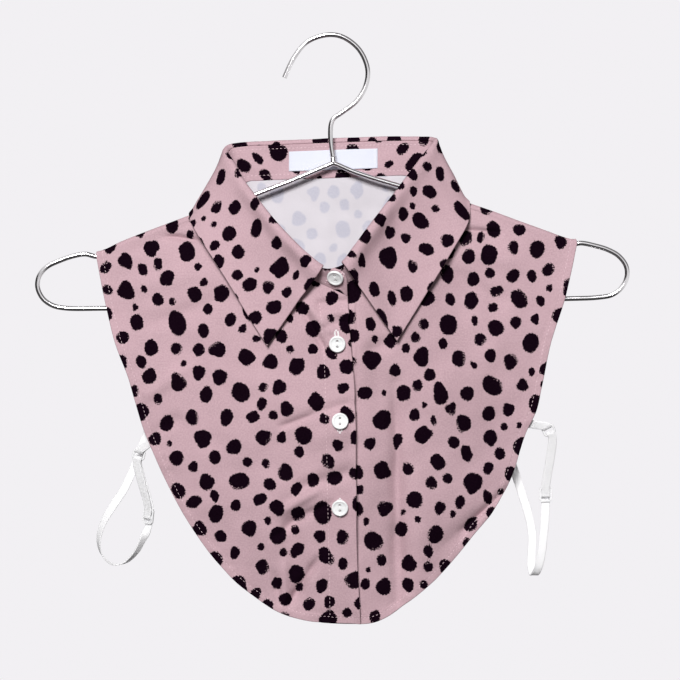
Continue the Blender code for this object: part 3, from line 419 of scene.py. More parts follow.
# Small creases of the fronts and the back, too fine for the solids, as in FOLDS. On the fronts
# they set in over this share of the rows below the shoulder
CREASES_SET_IN = 0.035
CREASES = [
    (-117.1, -136.4, -88.7, -141.1, 2.6, -3.7),
    (-144.2, -147.9, -117.1, -138.4, 4.5, -1.7),
    (-141.5, -173.6, -79.2, -160.1, 8.0, 2.0),
    (-125.2, -198.0, -60.2, -177.7, 7.0, -2.7),
    (-130.7, -249.5, -91.4, -223.1, 4.6, 1.9),
    (-34.4, -267.8, -12.8, -259.7, 2.4, -2.2),
    (-12.8, -259.0, 14.3, -250.9, 3.8, -2.2),
    (-12.8, -277.3, 11.6, -269.8, 8.0, 2.2),
    (-22.2, -309.8, 14.3, -297.6, 5.0, -2.9),
    (-33.1, -326.1, -8.7, -309.8, 3.2, 2.9),
    (-31.7, -334.9, 0.8, -319.3, 2.8, -2.5),
    (-41.2, -344.4, -19.5, -330.2, 2.0, -1.5),
    (-8.7, -357.9, -29.0, -390.5, 3.0, -3.9),
    (-31.7, -360.0, -31.7, -386.4, 3.2, 2.0),
    (-39.2, -367.4, -35.1, -389.1, 2.4, -1.9),
    (44.2, -238.0, 46.2, -388.0, 4.4, -2.8),
    (38.7, -236.0, 40.1, -385.0, 16.0, -2.4),
    (21.1, -217.7, 42.8, -208.9, 5.0, -1.9),
    (87.5, -133.0, 116.7, -135.0, 2.5, -3.4),
    (94.3, -148.6, 129.5, -156.7, 6.5, 1.7),
    (79.4, -160.1, 117.3, -183.8, 6.0, -2.4),
    (139.0, -138.4, 159.3, -172.3, 7.0, -1.5),
    (89.6, -339.6, 124.1, -307.8, 2.6, -2.5),
    (97.0, -337.6, 128.2, -310.5, 2.0, 1.4),
    (-20.9, -179.7, 0.1, -202.8, 2.6, 2.0),
    (-18.2, -189.9, -3.3, -217.0, 2.4, -2.9),
    (-8.7, -183.8, 14.3, -181.8, 2.0, -1.7),
    (-6.0, -191.9, 14.3, -189.9, 2.2, 1.4),
    (-6.0, -200.1, 11.0, -196.7, 2.0, -1.4),
]
BACK_CREASES = [
    (-112.0, -150.0, -96.0, -196.0, 4.0, 1.6),
    (-124.0, -176.0, -108.0, -206.0, 5.0, -1.0),
    (108.0, -146.0, 98.0, -190.0, 4.0, 1.5),
    (124.0, -170.0, 112.0, -212.0, 5.5, -1.1),
    (-96.0, -240.0, -70.0, -262.0, 4.0, -1.3),
    (-88.0, -252.0, -58.0, -272.0, 3.0, 1.2),
    (88.0, -228.0, 66.0, -262.0, 4.2, -1.2),
    (78.0, -246.0, 58.0, -276.0, 3.0, 0.9),
    (-24.0, -330.0, -18.0, -384.0, 3.4, 1.6),
    (-14.0, -322.0, -8.0, -376.0, 4.0, -1.0),
    (26.0, -318.0, 30.0, -380.0, 3.4, 1.5),
    (-110.0, -276.0, -92.0, -300.0, 3.2, 1.2),
    (104.0, -262.0, 88.0, -292.0, 3.0, 1.1),
    (-40.0, -118.0, -30.0, -176.0, 5.0, 1.2),
    (34.0, -114.0, 22.0, -168.0, 4.6, 1.1),
]

# The stand: its foot above the neck seam, and how far its sides stand out over which share of its half
STAND_FOOT = -0.3
STAND_PROUD = 0.8
PROUD_SPAN = (0.6, 0.85)

# How far the leaf stays off the panels: wanted, least, and more at its points
LEAF_CLEAR = 1.75
LEAF_TOUCH = 1.35
LEAF_LIFT = 6.0
STATIONS_A_ROW = 16
STAND_COLUMNS = 22
LEAF_STEPS = (3, 3, 5, 6, 8, 11, 11)

# Soft unevenness of the cloth: height and length of its waves, from long to short
PANEL_WAVES = [(0.75, 62.0), (0.24, 21.0), (0.045, 8.0)]
COLLAR_WAVES = [(0.4, 48.0), (0.1, 15.0)]

# Where it sets in: from a panel's ends, from its neck, and from the edges of a piece of the collar
CALM_ENDS = (4.0, 26.0)
CALM_NECK = (2.0, 24.0)
CALM_COLLAR = (0.5, 9.0)

# Pucker along a hem's stitches: height, length and reach. Then where it sets in from a panel's start
PUCKER = (0.2, 7.5, 3.2)
PUCKER_SETS_IN = (2.0, 10.0)

# Dip of the cloth at its stitches: depth, and its half width on a hem and on the placket
STITCH_DIP = 0.16
HEM_DIP = 0.7
PLACKET_DIP = 0.8

# Placket: width of the one beneath, and the run of the step up onto the one on top. The edge of
# the one on top flares by a height over a reach, and this sets in from the neck
PLACKET_WIDTH = 24.0
PLACKET_STEP = 1.1
PLACKET_FLARE = (1.1, 6.0)
FLARE_SETS_IN = (3.0, 20.0)

# Print: cloth to each spot, the spots' mean radius and its spread, and the swell of their outlines.
# Their stretch has a spread and a limit, and their turn a mean and a spread in degrees
SPOT_MARGIN = 8.0
SPOT_AREA = 232.0
SPOT_RADIUS = (4.55, 1.25)
SPOT_LIMITS = (2.0, 7.4)
SPOT_TRIES = 22
SPOT_WAVES = (0.05, 0.05, 0.03, 0.02, 0.015)
SPOT_STRETCH = (0.22, 0.6)
SPOT_TURN = (90, 24)
SPOT_REACH = 1.6

# Share of the spots that are dry on one side, and where: cosine from that side, and depth inside
DRY_SHARE = 0.22
DRY_SIDE = (0.1, 0.9)
DRY_DEPTH = (-3.0, -1.0)

# The print is worked out up to this far outside a spot
PRINT_FAR = 4.0

# Margin of the bake's square, as a share of it
BAKE_EDGE = 0.008

# Button: its section in from its edge and above its back, its holes, and where it lies
BUTTON_TURNED = [
    (BUTTON_WIDTH / 2, 0.0), (1.4, 0.0), (0.6, 0.16), (0.15, 0.55), (0.0, 1.0), (0.05, 1.45),
    (0.22, 1.85), (0.5, 2.1), (0.85, 2.2), (1.2, 2.14), (1.5, 1.94), (1.8, 1.74), (2.2, 1.64),
    (3.2, 1.58), (BUTTON_WIDTH / 2, 1.56),
]
HOLE_TURNED = [
    (0.0, -1.0), (0.72, -1.0), (0.72, 1.15), (0.8, 1.38), (0.98, 1.56), (1.3, 1.8), (0.0, 1.8),
]
BUTTON_SIDES = 64
BUTTON_SHARP = 38
HOLE_SIDES = 24
HOLES_APART = 3.8
BUTTON_SEAT = 0.2

# Strands through a button: two on top, this far from the middle and this high, and one at each
# hole, this high. Their thickness comes last
STRANDS = (0.22, 0.9, 0.1, 0.5)

# Buttonholes: length, width, pitch of the stitches and length of the end bars, and for each its
# shift up and its turn
HOLE_LENGTH = 13.5
HOLE_WIDTH = 3.3
HOLE_PITCH = 0.36
HOLE_BAR = 1.2
HOLES = [(0.0, 20.0), (3.0, 98.0), (-1.2, 90.0), (0.0, 90.0)]

# Elastic: ribs across it, how deep they are, how far in from its sides the ribs and the rounding
# start. Then the longest and sharpest steps along it and along the wire, in mm and degrees
BAND_RIBS = 11
BAND_RIB = 0.02
BAND_SIDE = (0.25, 0.04)
BAND_BENDS = (1.6, 6.0)
BAND_SHARP = 60
WIRE_BENDS = (2.0, 2.5)
WIRE_SIDES = 24
RING_SIDES = 14
RING_STEPS = 7

# Bead between the hook's stem and the frame: radius, and height along the stem
WELD_TURNED = [
    (0.0, -4.0), (1.71, -4.0), (1.76, -2.6), (1.95, -1.3), (2.15, -0.4), (2.1, 0.4), (1.3, 1.2),
    (0.0, 1.3),
]

# Label: points along and across it, how far it lies in from the stand's middle, its puff and
# thickness, its rounded edge and the end of the fold at both ends
LABEL_POINTS = (90, 24)
LABEL_OFF = 1.05
LABEL_PUFF = 0.35
LABEL_THICK = 0.35
LABEL_EDGE = (0.0, 0.08, 0.22)
LABEL_FOLD = (1.6, 1.9)
LABEL_STITCH = (1.5, 0.5, 0.3)

# Rows of stitches on the stand: in from its foot and from its top, in grid columns
STAND_STITCH = (6, 5)

PRINT_SEEDS = {
    "front_right": 11,
    "front_left": 23,
    "back_panel": 37,
    "collar_stand": 41,
    "collar_leaf": 59,
}

# Cut of what shows of each piece: width, length, area in square millimetres
CUTS = {
    "front_right_cloth": (182.0, 293.0, 37300.0),
    "front_left_cloth": (177.0, 298.0, 37500.0),
    "back_panel_cloth": (331.0, 300.0, 72200.0),
    "collar_stand_cloth": (395.0, 28.0, 8500.0),
    "collar_leaf_cloth": (411.0, 71.0, 22900.0),
    "neck_label_tape": (61.6, 13.8, 850.0),
}

# ---- Colours

PINK = (0.47, 0.312, 0.35)
PINK_LIGHT = (0.535, 0.37, 0.408)
PINK_DEEP = (0.435, 0.29, 0.325)
SPOT_BLACK = (0.0045, 0.0012, 0.004)
SPOT_SOFT = (0.009, 0.0035, 0.008)
WRONG_SIDE = (0.60, 0.572, 0.61)
WRONG_LIGHT = (0.635, 0.61, 0.645)
WRONG_SPOT = (0.44, 0.44, 0.525)
THREAD_PINK = (0.78, 0.60, 0.64)
THREAD_PINK_DARK = (0.60, 0.43, 0.47)
THREAD_WHITE = (0.88, 0.86, 0.86)
THREAD_WHITE_DARK = (0.68, 0.66, 0.67)
# The elastic's white, then a darker white painted into the grooves between its ribs and loops: painted shade
ELASTIC_WHITE = (0.82, 0.815, 0.83)
ELASTIC_SHADE = (0.76, 0.755, 0.775)
BUTTON_WHITE = (0.86, 0.86, 0.865)
BUTTON_SHADE = (0.76, 0.775, 0.78)
FITTING_WHITE = (0.80, 0.80, 0.81)
FITTING_SHADE = (0.75, 0.75, 0.77)
LABEL_WHITE = (0.66, 0.68, 0.77)
LABEL_SHADE = (0.58, 0.60, 0.69)
STEEL = (0.78, 0.76, 0.78)
STEEL_DULL = (0.68, 0.66, 0.68)
FLOOR_PALE = (0.64, 0.63, 0.645)
FLOOR_SHADE = (0.61, 0.60, 0.615)
BACKDROP = (0.887, 0.871, 0.896)

# Noise in the finishes: scale, detail, roughness and stretch
WEAVE = (0.95, 3.0, 0.75)
CLOUDS = (0.05, 3.0)
RAGGED = (1.15, 2.0, 0.55)
SCRATCHES = (1.15, 1.5, 0.5, (0.8, 1.5, 1.0))
CRINKLE = (0.17, 3.0, 0.55)
SWIRL = (260.0, 3.0, 0.6, (1.0, 2.2, 1.0))
PICKS = (3.4, 2.0, 0.6, (1.0, 3.0, 1.0))
DRAWN = (900.0, 3.0, 0.6)

# How far the spots' edges are ragged and how deep light goes into the elastic, both in mm, and the
# steel's roughness from its smoothest to its dullest place
RAGGED_BY = 3.2
ELASTIC_DEPTH = 3.0
STEEL_ROUGH = (0.13, 0.2)

# The studio round the garment. Gloss mirrors bands of light and dark, each a place from -1 to 1
# along MIRROR_AXIS and a grey. Everything else is lit by one soft colour.
MIRROR_AXIS = (0.6, 0.0, 0.8)
MIRROR_BANDS = [
    (-1.0, 0.12), (-0.45, 0.02), (-0.25, 0.05), (-0.08, 0.6), (0.25, 0.95), (0.6, 0.75), (0.8, 0.1),
    (1.0, 0.3),
]
SOFT_LIGHT = (0.98, 0.965, 0.975)
SOFT_STRENGTH = 0.07

# Lights: name, place, size, power, colour. They aim at the middle of the garment.
LIGHT_AIM = (0.0, 0.0, -0.24)
LIGHTS = [
    ("key", (-0.65, -3.9, 1.75), (1.2, 1.2), 250.0, (1.0, 0.995, 0.99)),
    ("fill", (0.5, -3.2, -0.75), (1.2, 1.2), 5.0, (1.0, 0.97, 0.97)),
    ("back key", (0.65, 3.9, 2.1), (1.2, 1.2), 140.0, (1.0, 0.995, 0.99)),
    ("pale wall", (0.0, 2.3, -0.1), (2.4, 0.9), 34.0, (1.0, 0.99, 1.0)),
]


# ---------------------------------------------------------------- curves and grids


def unit(vectors):
    vectors = np.asarray(vectors, float)
    return vectors / np.maximum(np.linalg.norm(vectors, axis=-1, keepdims=True), 1e-9)


def travelled(lines):
    """Distance travelled along the first axis of a line or a grid of points."""
    steps = np.linalg.norm(np.diff(lines, axis=0), axis=-1)
    return np.concatenate([np.zeros((1, *steps.shape[1:])), np.cumsum(steps, axis=0)])


class Curve:
    """A smooth curve through rows of numbers, read by row number or by share of length."""

    LEAST_SPAN = 0.3

    def __init__(self, rows, closed=False, steps=48, length_of=slice(0, 3)):
        rows = np.array(rows, float)
        if closed:
            rows = np.vstack([rows[-2:], rows, rows[:3]])
        spans = np.sqrt(np.linalg.norm(np.diff(rows[:, length_of], axis=0), axis=1))
        spans = np.maximum(spans, self.LEAST_SPAN)[:, None]
        slopes = np.diff(rows, axis=0) / spans
        tangents = np.empty_like(rows)
        tangents[1:-1] = slopes[:-1] * spans[1:] + slopes[1:] * spans[:-1]
        tangents[1:-1] /= spans[1:] + spans[:-1]
        tangents[0] = 1.5 * slopes[0] - 0.5 * tangents[1]
        tangents[-1] = 1.5 * slopes[-1] - 0.5 * tangents[-2]
        first, last = (2, len(rows) - 3) if closed else (0, len(rows) - 1)
        self.row = np.linspace(0, last - first, (last - first) * steps + 1)
        span = np.minimum(self.row.astype(int), last - first - 1)
        part = (self.row - span)[:, None]
        span = span + first
        self.points = (
            (2 * part**3 - 3 * part**2 + 1) * rows[span]
            + (part**3 - 2 * part**2 + part) * spans[span] * tangents[span]
            + (3 * part**2 - 2 * part**3) * rows[span + 1]
            + (part**3 - part**2) * spans[span] * tangents[span + 1]
        )
        self.travel = travelled(self.points[:, length_of])

    def at_row(self, row):
        columns = [np.interp(row, self.row, column) for column in self.points.T]
        return np.stack(columns, axis=-1)

    def row_at(self, travel):
        return np.interp(travel, self.travel, self.row)

    def at(self, share):
        return self.at_row(self.row_at(np.asarray(share) * self.travel[-1]))


def flat_curve(table, closed=False):
    """A smooth curve in the plane of the hanger, from its x and z."""
    return Curve([(x, 0.0, z) for x, z in table], closed)


def grid_normals(grid):
    across = np.gradient(grid, axis=0)
    along = np.gradient(grid, axis=1)
    return unit(np.cross(across, along))


def facing(grid, way):
    """Grid normals, turned so that most of them face the given way at the grid's middle."""
    normals = grid_normals(grid)
    middle = normals[grid.shape[0] // 2, grid.shape[1] // 2]
    return normals if np.dot(middle, way) > 0 else -normals


def smooth_step(value, start, end):
    share = np.clip((value - start) / (end - start), 0, 1)
    return share * share * (3 - 2 * share)


def hump(value, half_width):
    """1 where the value is 0, and less on both sides."""
    return np.exp(-((value / half_width) ** 2))


def folds_at(grid, folds):
    """How far the folds move each point along Y (a ridge of a front goes to -Y)."""
    moved = np.zeros(grid.shape[:2])
    flat = grid[..., [0, 2]]
    for x0, z0, x1, z1, half_width, height in folds:
        start, line = np.array([x0, z0]), np.array([x1 - x0, z1 - z0])
        length = np.linalg.norm(line)
        along = ((flat - start) @ line) / length**2
        aside = np.linalg.norm(flat - start - np.clip(along, 0, 1)[..., None] * line, axis=-1)
        beyond = np.clip(np.abs(along - 0.5) - FOLD_MIDDLE, 0, None)
        moved -= height * hump(beyond, FOLD_FADE) * hump(aside, half_width)
    return moved


def respaced(grid, axis, count, start=(0.0,), end=(0.0,), slant=None):
    """A grid whose lines along one axis are divided again: at given distances in from both
    ends, and evenly between. Its last axis may hold more than the three coordinates."""
    lines = np.moveaxis(grid, axis, 0)
    travel = travelled(lines[..., :3])
    result = []
    for number in range(lines.shape[1]):
        length = travel[-1, number]
        stretch = 1.0 if slant is None else slant[number]
        first = np.array(start)
        last = length - np.array(end) * stretch
        evenly = np.linspace(first[-1], last[-1], count)
        places = np.concatenate([first[:-1], evenly, last[:-1][::-1]])
        columns = [np.interp(places, travel[:, number], column) for column in lines[:, number].T]
        result.append(np.stack(columns, axis=-1))
    return np.moveaxis(np.array(result), 0, 1 - axis)


def slant_at_end(grid):
    """How much longer a step along each row is than the way it gains from the row's end."""
    along = unit(grid[:, -1, :3] - grid[:, -8, :3])
    edge = unit(np.gradient(grid[:, -1, :3], axis=0))
    cosine = np.clip(np.abs(np.sum(along * edge, axis=1)), 0, 0.85)
    stretch = 1 / np.sqrt(1 - cosine**2)
    for _ in range(12):
        stretch[1:-1] = (stretch[:-2] + 2 * stretch[1:-1] + stretch[2:]) / 4
    return stretch


def waves(places, wavelength, seed, count=14):
    """Smooth random waves over places in mm, between about -1 and 1."""
    draw = np.random.default_rng(seed)
    total = np.zeros(places.shape[:-1])
    for _ in range(count):
        turn, phase = draw.uniform(0, 2 * math.pi, 2)
        pitch = 2 * math.pi / (wavelength * draw.uniform(0.6, 1.7))
        run = places[..., 0] * math.cos(turn) + places[..., 1] * math.sin(turn)
        total += np.cos(pitch * run + phase)
    return total / math.sqrt(count)


def unevenness(places, table, seed):
    """Waves of several lengths on top of each other."""
    return sum(height * waves(places, length, seed + k) for k, (height, length) in enumerate(table))


# ---------------------------------------------------------------- forms shared with the solids


def wire_at(x, left):
    """Centre of the hanger's arm above a given x, and the way that is square to it."""
    points = flat_curve(LOOP, closed=True).points
    peak = LOOP[0][0]
    top = points[:, 2] > ARM_LOWEST
    side = points[:, 0] > peak if left else points[:, 0] < peak
    arm = points[top & side]
    arm = arm[np.argsort(arm[:, 0])]
    z = np.interp(x, arm[:, 0], arm[:, 2])
    reach = WIRE / 2
    ahead, behind = (np.interp(x + way * reach, arm[:, 0], arm[:, 2]) for way in (1, -1))
    slope = (ahead - behind) / (2 * reach)
    up = unit(np.stack([-slope, np.zeros_like(slope), np.ones_like(slope)], axis=-1))
    return np.stack([x, np.zeros_like(x), z], axis=-1), up


def collar_curve():
    rows = [(*neck, *fold, *edge, rise, lift) for neck, fold, edge, rise, lift in COLLAR]
    return Curve(rows, length_of=slice(3, 6))


def shoulder_strip(ends, left, back, columns):
    """Rows of points over the wire, from the seam on top round to where the cloth hangs,
    with their normals and how far each row is from where it hangs."""
    x = np.linspace(ends[0], ends[1], columns)
    centre, up = wire_at(x, left)
    outward = np.array([0.0, 1.0 if back else -1.0, 0.0])
    rows, normals, runs = [], [], []
    for turn in np.radians(np.linspace(1.0, 90.0, SHOULDER_STEPS)):
        normal = math.cos(turn) * up + math.sin(turn) * outward
        rows.append(centre + SHOULDER_RADIUS * normal)
        normals.append(normal)
        runs.append(SHOULDER_RADIUS * (math.pi / 2 - turn - math.cos(turn)))
    return np.array(rows), np.array(normals), np.array(runs)


def fan(inner, outer, first_row, last_row):
    """A grid between two edges, bent to follow a given first and last row."""
    share = np.linspace(0, 1, inner.shape[0])[:, None, None]
    across = np.linspace(0, 1, first_row.shape[0])[None, :, None]
    grid = (1 - across) * inner[:, None] + across * outer[:, None]
    grid += (1 - share) ** 3 * (first_row - grid[0])[None]
    grid += share**3 * (last_row - grid[-1])[None]
    return grid


def dome(grid, neck_y, edge_y):
    """Depth of a front: straight down from the shoulder, fuller towards the centre."""
    share = np.linspace(0, 1, grid.shape[0])[:, None]
    across = np.linspace(0, 1, grid.shape[1])[None, :]
    full = smooth_step(share, 0.0, 0.8)
    level = (1 - full) * (1 - across) + full * (1 - across**2 + 0.5 * across * (1 - across))
    return edge_y[:, None] + (neck_y - edge_y)[:, None] * level


def with_cloth(grid, strips, runs):
    """The grid with its place on the flat cloth added: x, and z past the roll of each shoulder."""
    beyond = np.zeros(grid.shape[:2])
    for rows, run in zip(strips, runs):
        beyond[rows] = run[:, None]
    return np.dstack([grid, grid[..., 0], grid[..., 2] + beyond])


def front_grid(left, rows, columns):
    """Middle surface of one front: x, y, z and its place on the cloth."""
    collar = collar_curve()
    ends = SHOULDER_LEFT if left else SHOULDER_RIGHT
    cross = CROSS_LEFT if left else CROSS_RIGHT
    lap = len(COLLAR) - 1 if left else 0
    strip, _, run = shoulder_strip(ends, left, False, columns)
    share = np.linspace(0, 1, rows)
    near = cross + FRONT_FROM_CROSS * np.sign(lap - cross)
    neck = collar.at_row(near + (lap - near) * share**NECK_CROWDING)[:, 0:3]
    neck[0] = strip[-1][0]
    edge_table = FRONT_LEFT_EDGE if left else FRONT_RIGHT_EDGE
    edge = Curve([tuple(strip[-1][-1])] + edge_table).at(share**EDGE_CROWDING)
    foot = np.linspace(0, 1, columns)
    front_row = neck[-1] + foot[:, None] * (edge[-1] - neck[-1])
    if not left:
        bow = Curve([(where, x, 0.0) for where, x in LAP_BOW])
        front_row[:, 0] += np.interp(foot, bow.points[:, 0], bow.points[:, 1])
    grid = fan(neck, edge, strip[-1], front_row)
    depth = dome(grid, neck[:, 1], edge[:, 1])
    settle = smooth_step(share, 0.0, FRONT_SETTLES)[:, None]
    grid[..., 1] = grid[..., 1] * (1 - settle) + depth * settle
    grid[..., 1] += folds_at(grid, FOLDS) * settle
    grid[..., 1] += folds_at(grid, CREASES) * smooth_step(share, 0.0, CREASES_SET_IN)[:, None]
    table, start, end = LAP_PARTS[left]
    forward = np.interp(foot, *np.transpose(table))
    grid[..., 1] -= forward[None, :] * smooth_step(grid[..., 0], start, end)
    grid = np.vstack([strip[:-1], grid])
    return with_cloth(grid, [slice(0, len(run))], [run])


def back_grid(rows, columns):
    """Middle surface of the back panel: x, y, z and its place on the cloth."""
    collar = collar_curve()
    right, _, run = shoulder_strip(SHOULDER_RIGHT, False, True, columns)
    left, _, _ = shoulder_strip(SHOULDER_LEFT, True, True, columns)
    share = np.linspace(0, 1, rows)
    start, end = CROSS_RIGHT + BACK_FROM_CROSS, CROSS_LEFT - BACK_FROM_CROSS
    neck = collar.at_row(start + (end - start) * share)[:, 0:3]
    neck[0], neck[-1] = right[-1][0], left[-1][0]
    edge = Curve([tuple(right[-1][-1])] + BACK_EDGE + [tuple(left[-1][-1])]).at(share)
    grid = fan(neck, edge, right[-1], left[-1])
    settle = smooth_step(share, 0.0, BACK_SETTLES) * smooth_step(1 - share, 0.0, BACK_SETTLES)
    grid[..., 1] += folds_at(grid, BACK_FOLDS + BACK_CREASES) * settle[:, None]
    grid = np.vstack([right[:-1], grid, left[-2::-1]])
    return with_cloth(grid, [slice(0, len(run)), slice(-len(run), None)], [run, run[::-1]])


def stand_frame(sections):
    """For each collar section: seam, fold, the way up the stand and the way out of it."""
    neck, fold = sections[:, 0:3], sections[:, 3:6]
    up = unit(fold - neck)
    out = unit(np.cross(up, np.gradient(fold, axis=0)))
    return neck, fold, up, out


def stand_grid(stations, columns):
    """Middle surface of the stand, from lap to lap, down to the neck seam. Towards the laps
    it lies on the fronts, so its lower edge stands out from them."""
    sections = collar_curve().at_row(stations)
    neck, fold, up, out = stand_frame(sections)
    around = np.abs(stations - CENTRE_BACK) / CENTRE_BACK
    proud = out * (STAND_PROUD * smooth_step(around, *PROUD_SPAN))[:, None]
    neck, fold = neck + proud, fold + proud
    lift = sections[:, 10:11]
    foot, top = neck + up * STAND_FOOT, fold - up * lift
    rounding = np.clip(stations / LAP_ROUND, 0, 1)
    height = 1 - LAP_END_CUT * (1 - np.sqrt(1 - (1 - rounding) ** 2))
    top = foot + (top - foot) * height[:, None]
    share = np.linspace(0, 1, columns)[None, :, None]
    return foot[:, None] + share * (top - foot)[:, None]


def section_points(knots, spans):
    """Points of a smooth section, with a given count in each span between its knots."""
    curve = Curve(knots)
    rows = [span + step / count for span, count in enumerate(spans) for step in range(count)]
    return curve.at_row(np.array(rows + [len(spans)], float))


def leaf_grid(stations, spans, tree):
    """Middle surface of the leaf, from the top of the stand over the fold to its free edge."""
    sections = collar_curve().at_row(stations)
    _, fold, up, out = stand_frame(sections)
    edge, lift = sections[:, 6:9], sections[:, 10:11]
    around = np.abs(stations - CENTRE_BACK) / (CENTRE_BACK - POINT_RIGHT)
    end = smooth_step(around, *POINTS_SPAN)[:, None]
    side = smooth_step(around, *SIDES_SPAN)[:, None]
    sag = SAG_BACK + SAG_SIDES * side - SAG_LOST_AT_POINTS * end
    half = COLLAR_WALL / 2
    over = fold - up * ROLL_DROP + out * (ROLL_OUT + ROLL_OUT_AT_POINTS * end)
    chord = unit(edge - over)
    sink = unit(np.cross(np.gradient(over, axis=0), chord))
    sink *= np.sign(np.sum(sink * out, axis=-1, keepdims=True))
    knots = np.stack([
        fold - up * lift,
        fold - up * (half + ROLL_DROP / 6) + out * ROLL_OUT / 10,
        fold - up * half + out * ROLL_OUT / 2,
        over,
        *(over + share * (edge - over) - part * sag * sink for share, part in LEAF_SAGS),
        edge,
    ], axis=1)
    grid = np.stack([section_points(row, spans) for row in knots])
    below = sum(spans[:3])
    lower = grid[:, below:]
    down = np.linspace(0, 1, lower.shape[1])
    apart = LEAF_CLEAR + LEAF_LIFT * end * (1 - down**2)
    lower += smoothed(push(lower, tree, apart))
    lower += push(lower, tree, np.full(apart.shape, LEAF_TOUCH))
    return grid


def smoothed(field, times=10):
    """A field over a grid, evened out along both ways."""
    for _ in range(times):
        for axis in (0, 1):
            lines = np.moveaxis(field, axis, 0)
            padded = np.concatenate([lines[:1], lines, lines[-1:]])
            field = np.moveaxis((padded[:-2] + 2 * lines + padded[2:]) / 4, 0, axis)
    return field


def push(grid, tree, apart):
    """How far each point must move to stay this far off the surface under it."""
    moved = grid.copy()
    for index in np.ndindex(grid.shape[:2]):
        for _ in range(2):
            point = Vector(moved[index])
            nearest, normal, _, distance = tree.find_nearest(point)
            height = (point - nearest).dot(normal)
            beside = distance > apart[index] and abs(height) < 0.7 * distance
            if height < apart[index] and not beside:
                moved[index] = point + normal * (apart[index] - height)
    return moved - grid


def tree_of(grids):
    """A search tree over grids of points, each given with the way that it faces."""
    points, faces = [], []
    for grid, way in grids:
        rows, columns = grid.shape[:2]
        start = len(points)
        points.extend(Vector(point) for point in grid.reshape(-1, 3))
        normal = grid_normals(grid)[rows // 2, columns // 2]
        quads = quads_of(rows, columns, flipped=np.dot(normal, way) < 0) + start
        faces.extend(quads.tolist())
    return BVHTree.FromPolygons(points, faces)


def quads_of(rows, columns, flipped=False):
    """The faces of a grid, as rows of four point numbers."""
    corner = (np.arange(rows - 1)[:, None] * columns + np.arange(columns - 1)).reshape(-1)
    order = (0, columns, columns + 1, 1)
    quads = np.stack([corner + step for step in order], axis=1)
    return quads[:, ::-1] if flipped else quads


# ---------------------------------------------------------------- print


def spots_over(places, seed):
    """Spots spread over the cloth of a piece, each with its centre, radius, stretch and outline."""
    draw = np.random.default_rng(seed)
    low = places.min(axis=(0, 1)) - SPOT_MARGIN
    high = places.max(axis=(0, 1)) + SPOT_MARGIN
    count = int(np.prod(high - low) / SPOT_AREA)
    radii = np.sort(np.clip(draw.normal(*SPOT_RADIUS, count), *SPOT_LIMITS))[::-1]
    centres = np.zeros((0, 2))
    for number, radius in enumerate(radii):
        tries = draw.uniform(low, high, (SPOT_TRIES, 2))
        if number:
            apart = np.linalg.norm(tries[:, None] - centres[None], axis=-1)
            clear = (apart - radii[:number] - radius).min(axis=1)
            centres = np.vstack([centres, tries[np.argmax(clear)]])
        else:
            centres = tries[:1]
    spots = []
    for centre, radius in zip(centres, radii):
        spots.append({
            "centre": centre,
            "radius": radius,
            "stretch": 1 + min(abs(draw.normal(0, SPOT_STRETCH[0])), SPOT_STRETCH[1]),
            "turn": math.radians(draw.normal(*SPOT_TURN)),
            "swell": draw.normal(0, 1, len(SPOT_WAVES)) * np.array(SPOT_WAVES),
            "phase": draw.uniform(0, 2 * math.pi, len(SPOT_WAVES)),
            "dry": draw.uniform(0, 2 * math.pi) if draw.random() < DRY_SHARE else None,
        })
    return spots


def print_at(cloth, spots):
    """For places on the cloth, how far outside the nearest spot each lies, in mm and below 0
    inside it, and how dry the print is there."""
    nearest = np.full(cloth.shape[:-1], PRINT_FAR)
    dry = np.zeros(cloth.shape[:-1])
    for spot in spots:
        offset = cloth - spot["centre"]
        near = np.abs(offset).max(axis=-1) < SPOT_REACH * spot["radius"] + PRINT_FAR
        if not near.any():
            continue
        offset = offset[near]
        cosine, sine = math.cos(spot["turn"]), math.sin(spot["turn"])
        root = math.sqrt(spot["stretch"])
        along = (offset[:, 0] * cosine + offset[:, 1] * sine) / root
        across = (-offset[:, 0] * sine + offset[:, 1] * cosine) * root
        angle = np.arctan2(across, along)
        outline = np.ones_like(angle)
        for number, (swell, phase) in enumerate(zip(spot["swell"], spot["phase"])):
            outline += swell * np.cos((number + 2) * angle + phase)
        outside = np.hypot(along, across) - spot["radius"] * outline
        closer = outside < nearest[near]
        nearest[near] = np.where(closer, outside, nearest[near])
        if spot["dry"] is not None:
            side = np.cos(angle - spot["dry"])
            dryness = smooth_step(side, *DRY_SIDE) * smooth_step(outside, *DRY_DEPTH)
            dry[near] = np.maximum(dry[near], np.where(closer, dryness, 0))
    return nearest, dry


# ---------------------------------------------------------------- cloth shells


def edge_round(distance):
    """Share of the full thickness this far in from a rounded edge."""
    inside = np.clip(distance / EDGE_RADIUS, 0, 1)
    return np.maximum(np.sqrt(1 - (1 - inside) ** 2), EDGE_LEAST)


def in_from(grid, axis, last):
    """How far each point lies from the first or last line of the grid along an axis."""
    lines = np.moveaxis(grid, axis, 0)
    travel = travelled(lines[..., :3])
    distance = travel[-1] - travel if last else travel
    return np.moveaxis(distance, 0, axis)


def in_from_edges(grid):
    """How far each point lies from the nearest of the grid's four edges."""
    return np.minimum.reduce([in_from(grid, axis, last) for axis in (0, 1) for last in (False, True)])


def bake_places(rows, columns, side):
    """Places on the bake's square: the outer face on its left half, the inner on its right."""
    across = np.linspace(BAKE_EDGE, 0.5 - BAKE_EDGE, rows)[:, None] + 0.5 * side
    along = np.linspace(BAKE_EDGE, 1 - BAKE_EDGE, columns)[None, :]
    return np.dstack(np.broadcast_arrays(across, along))


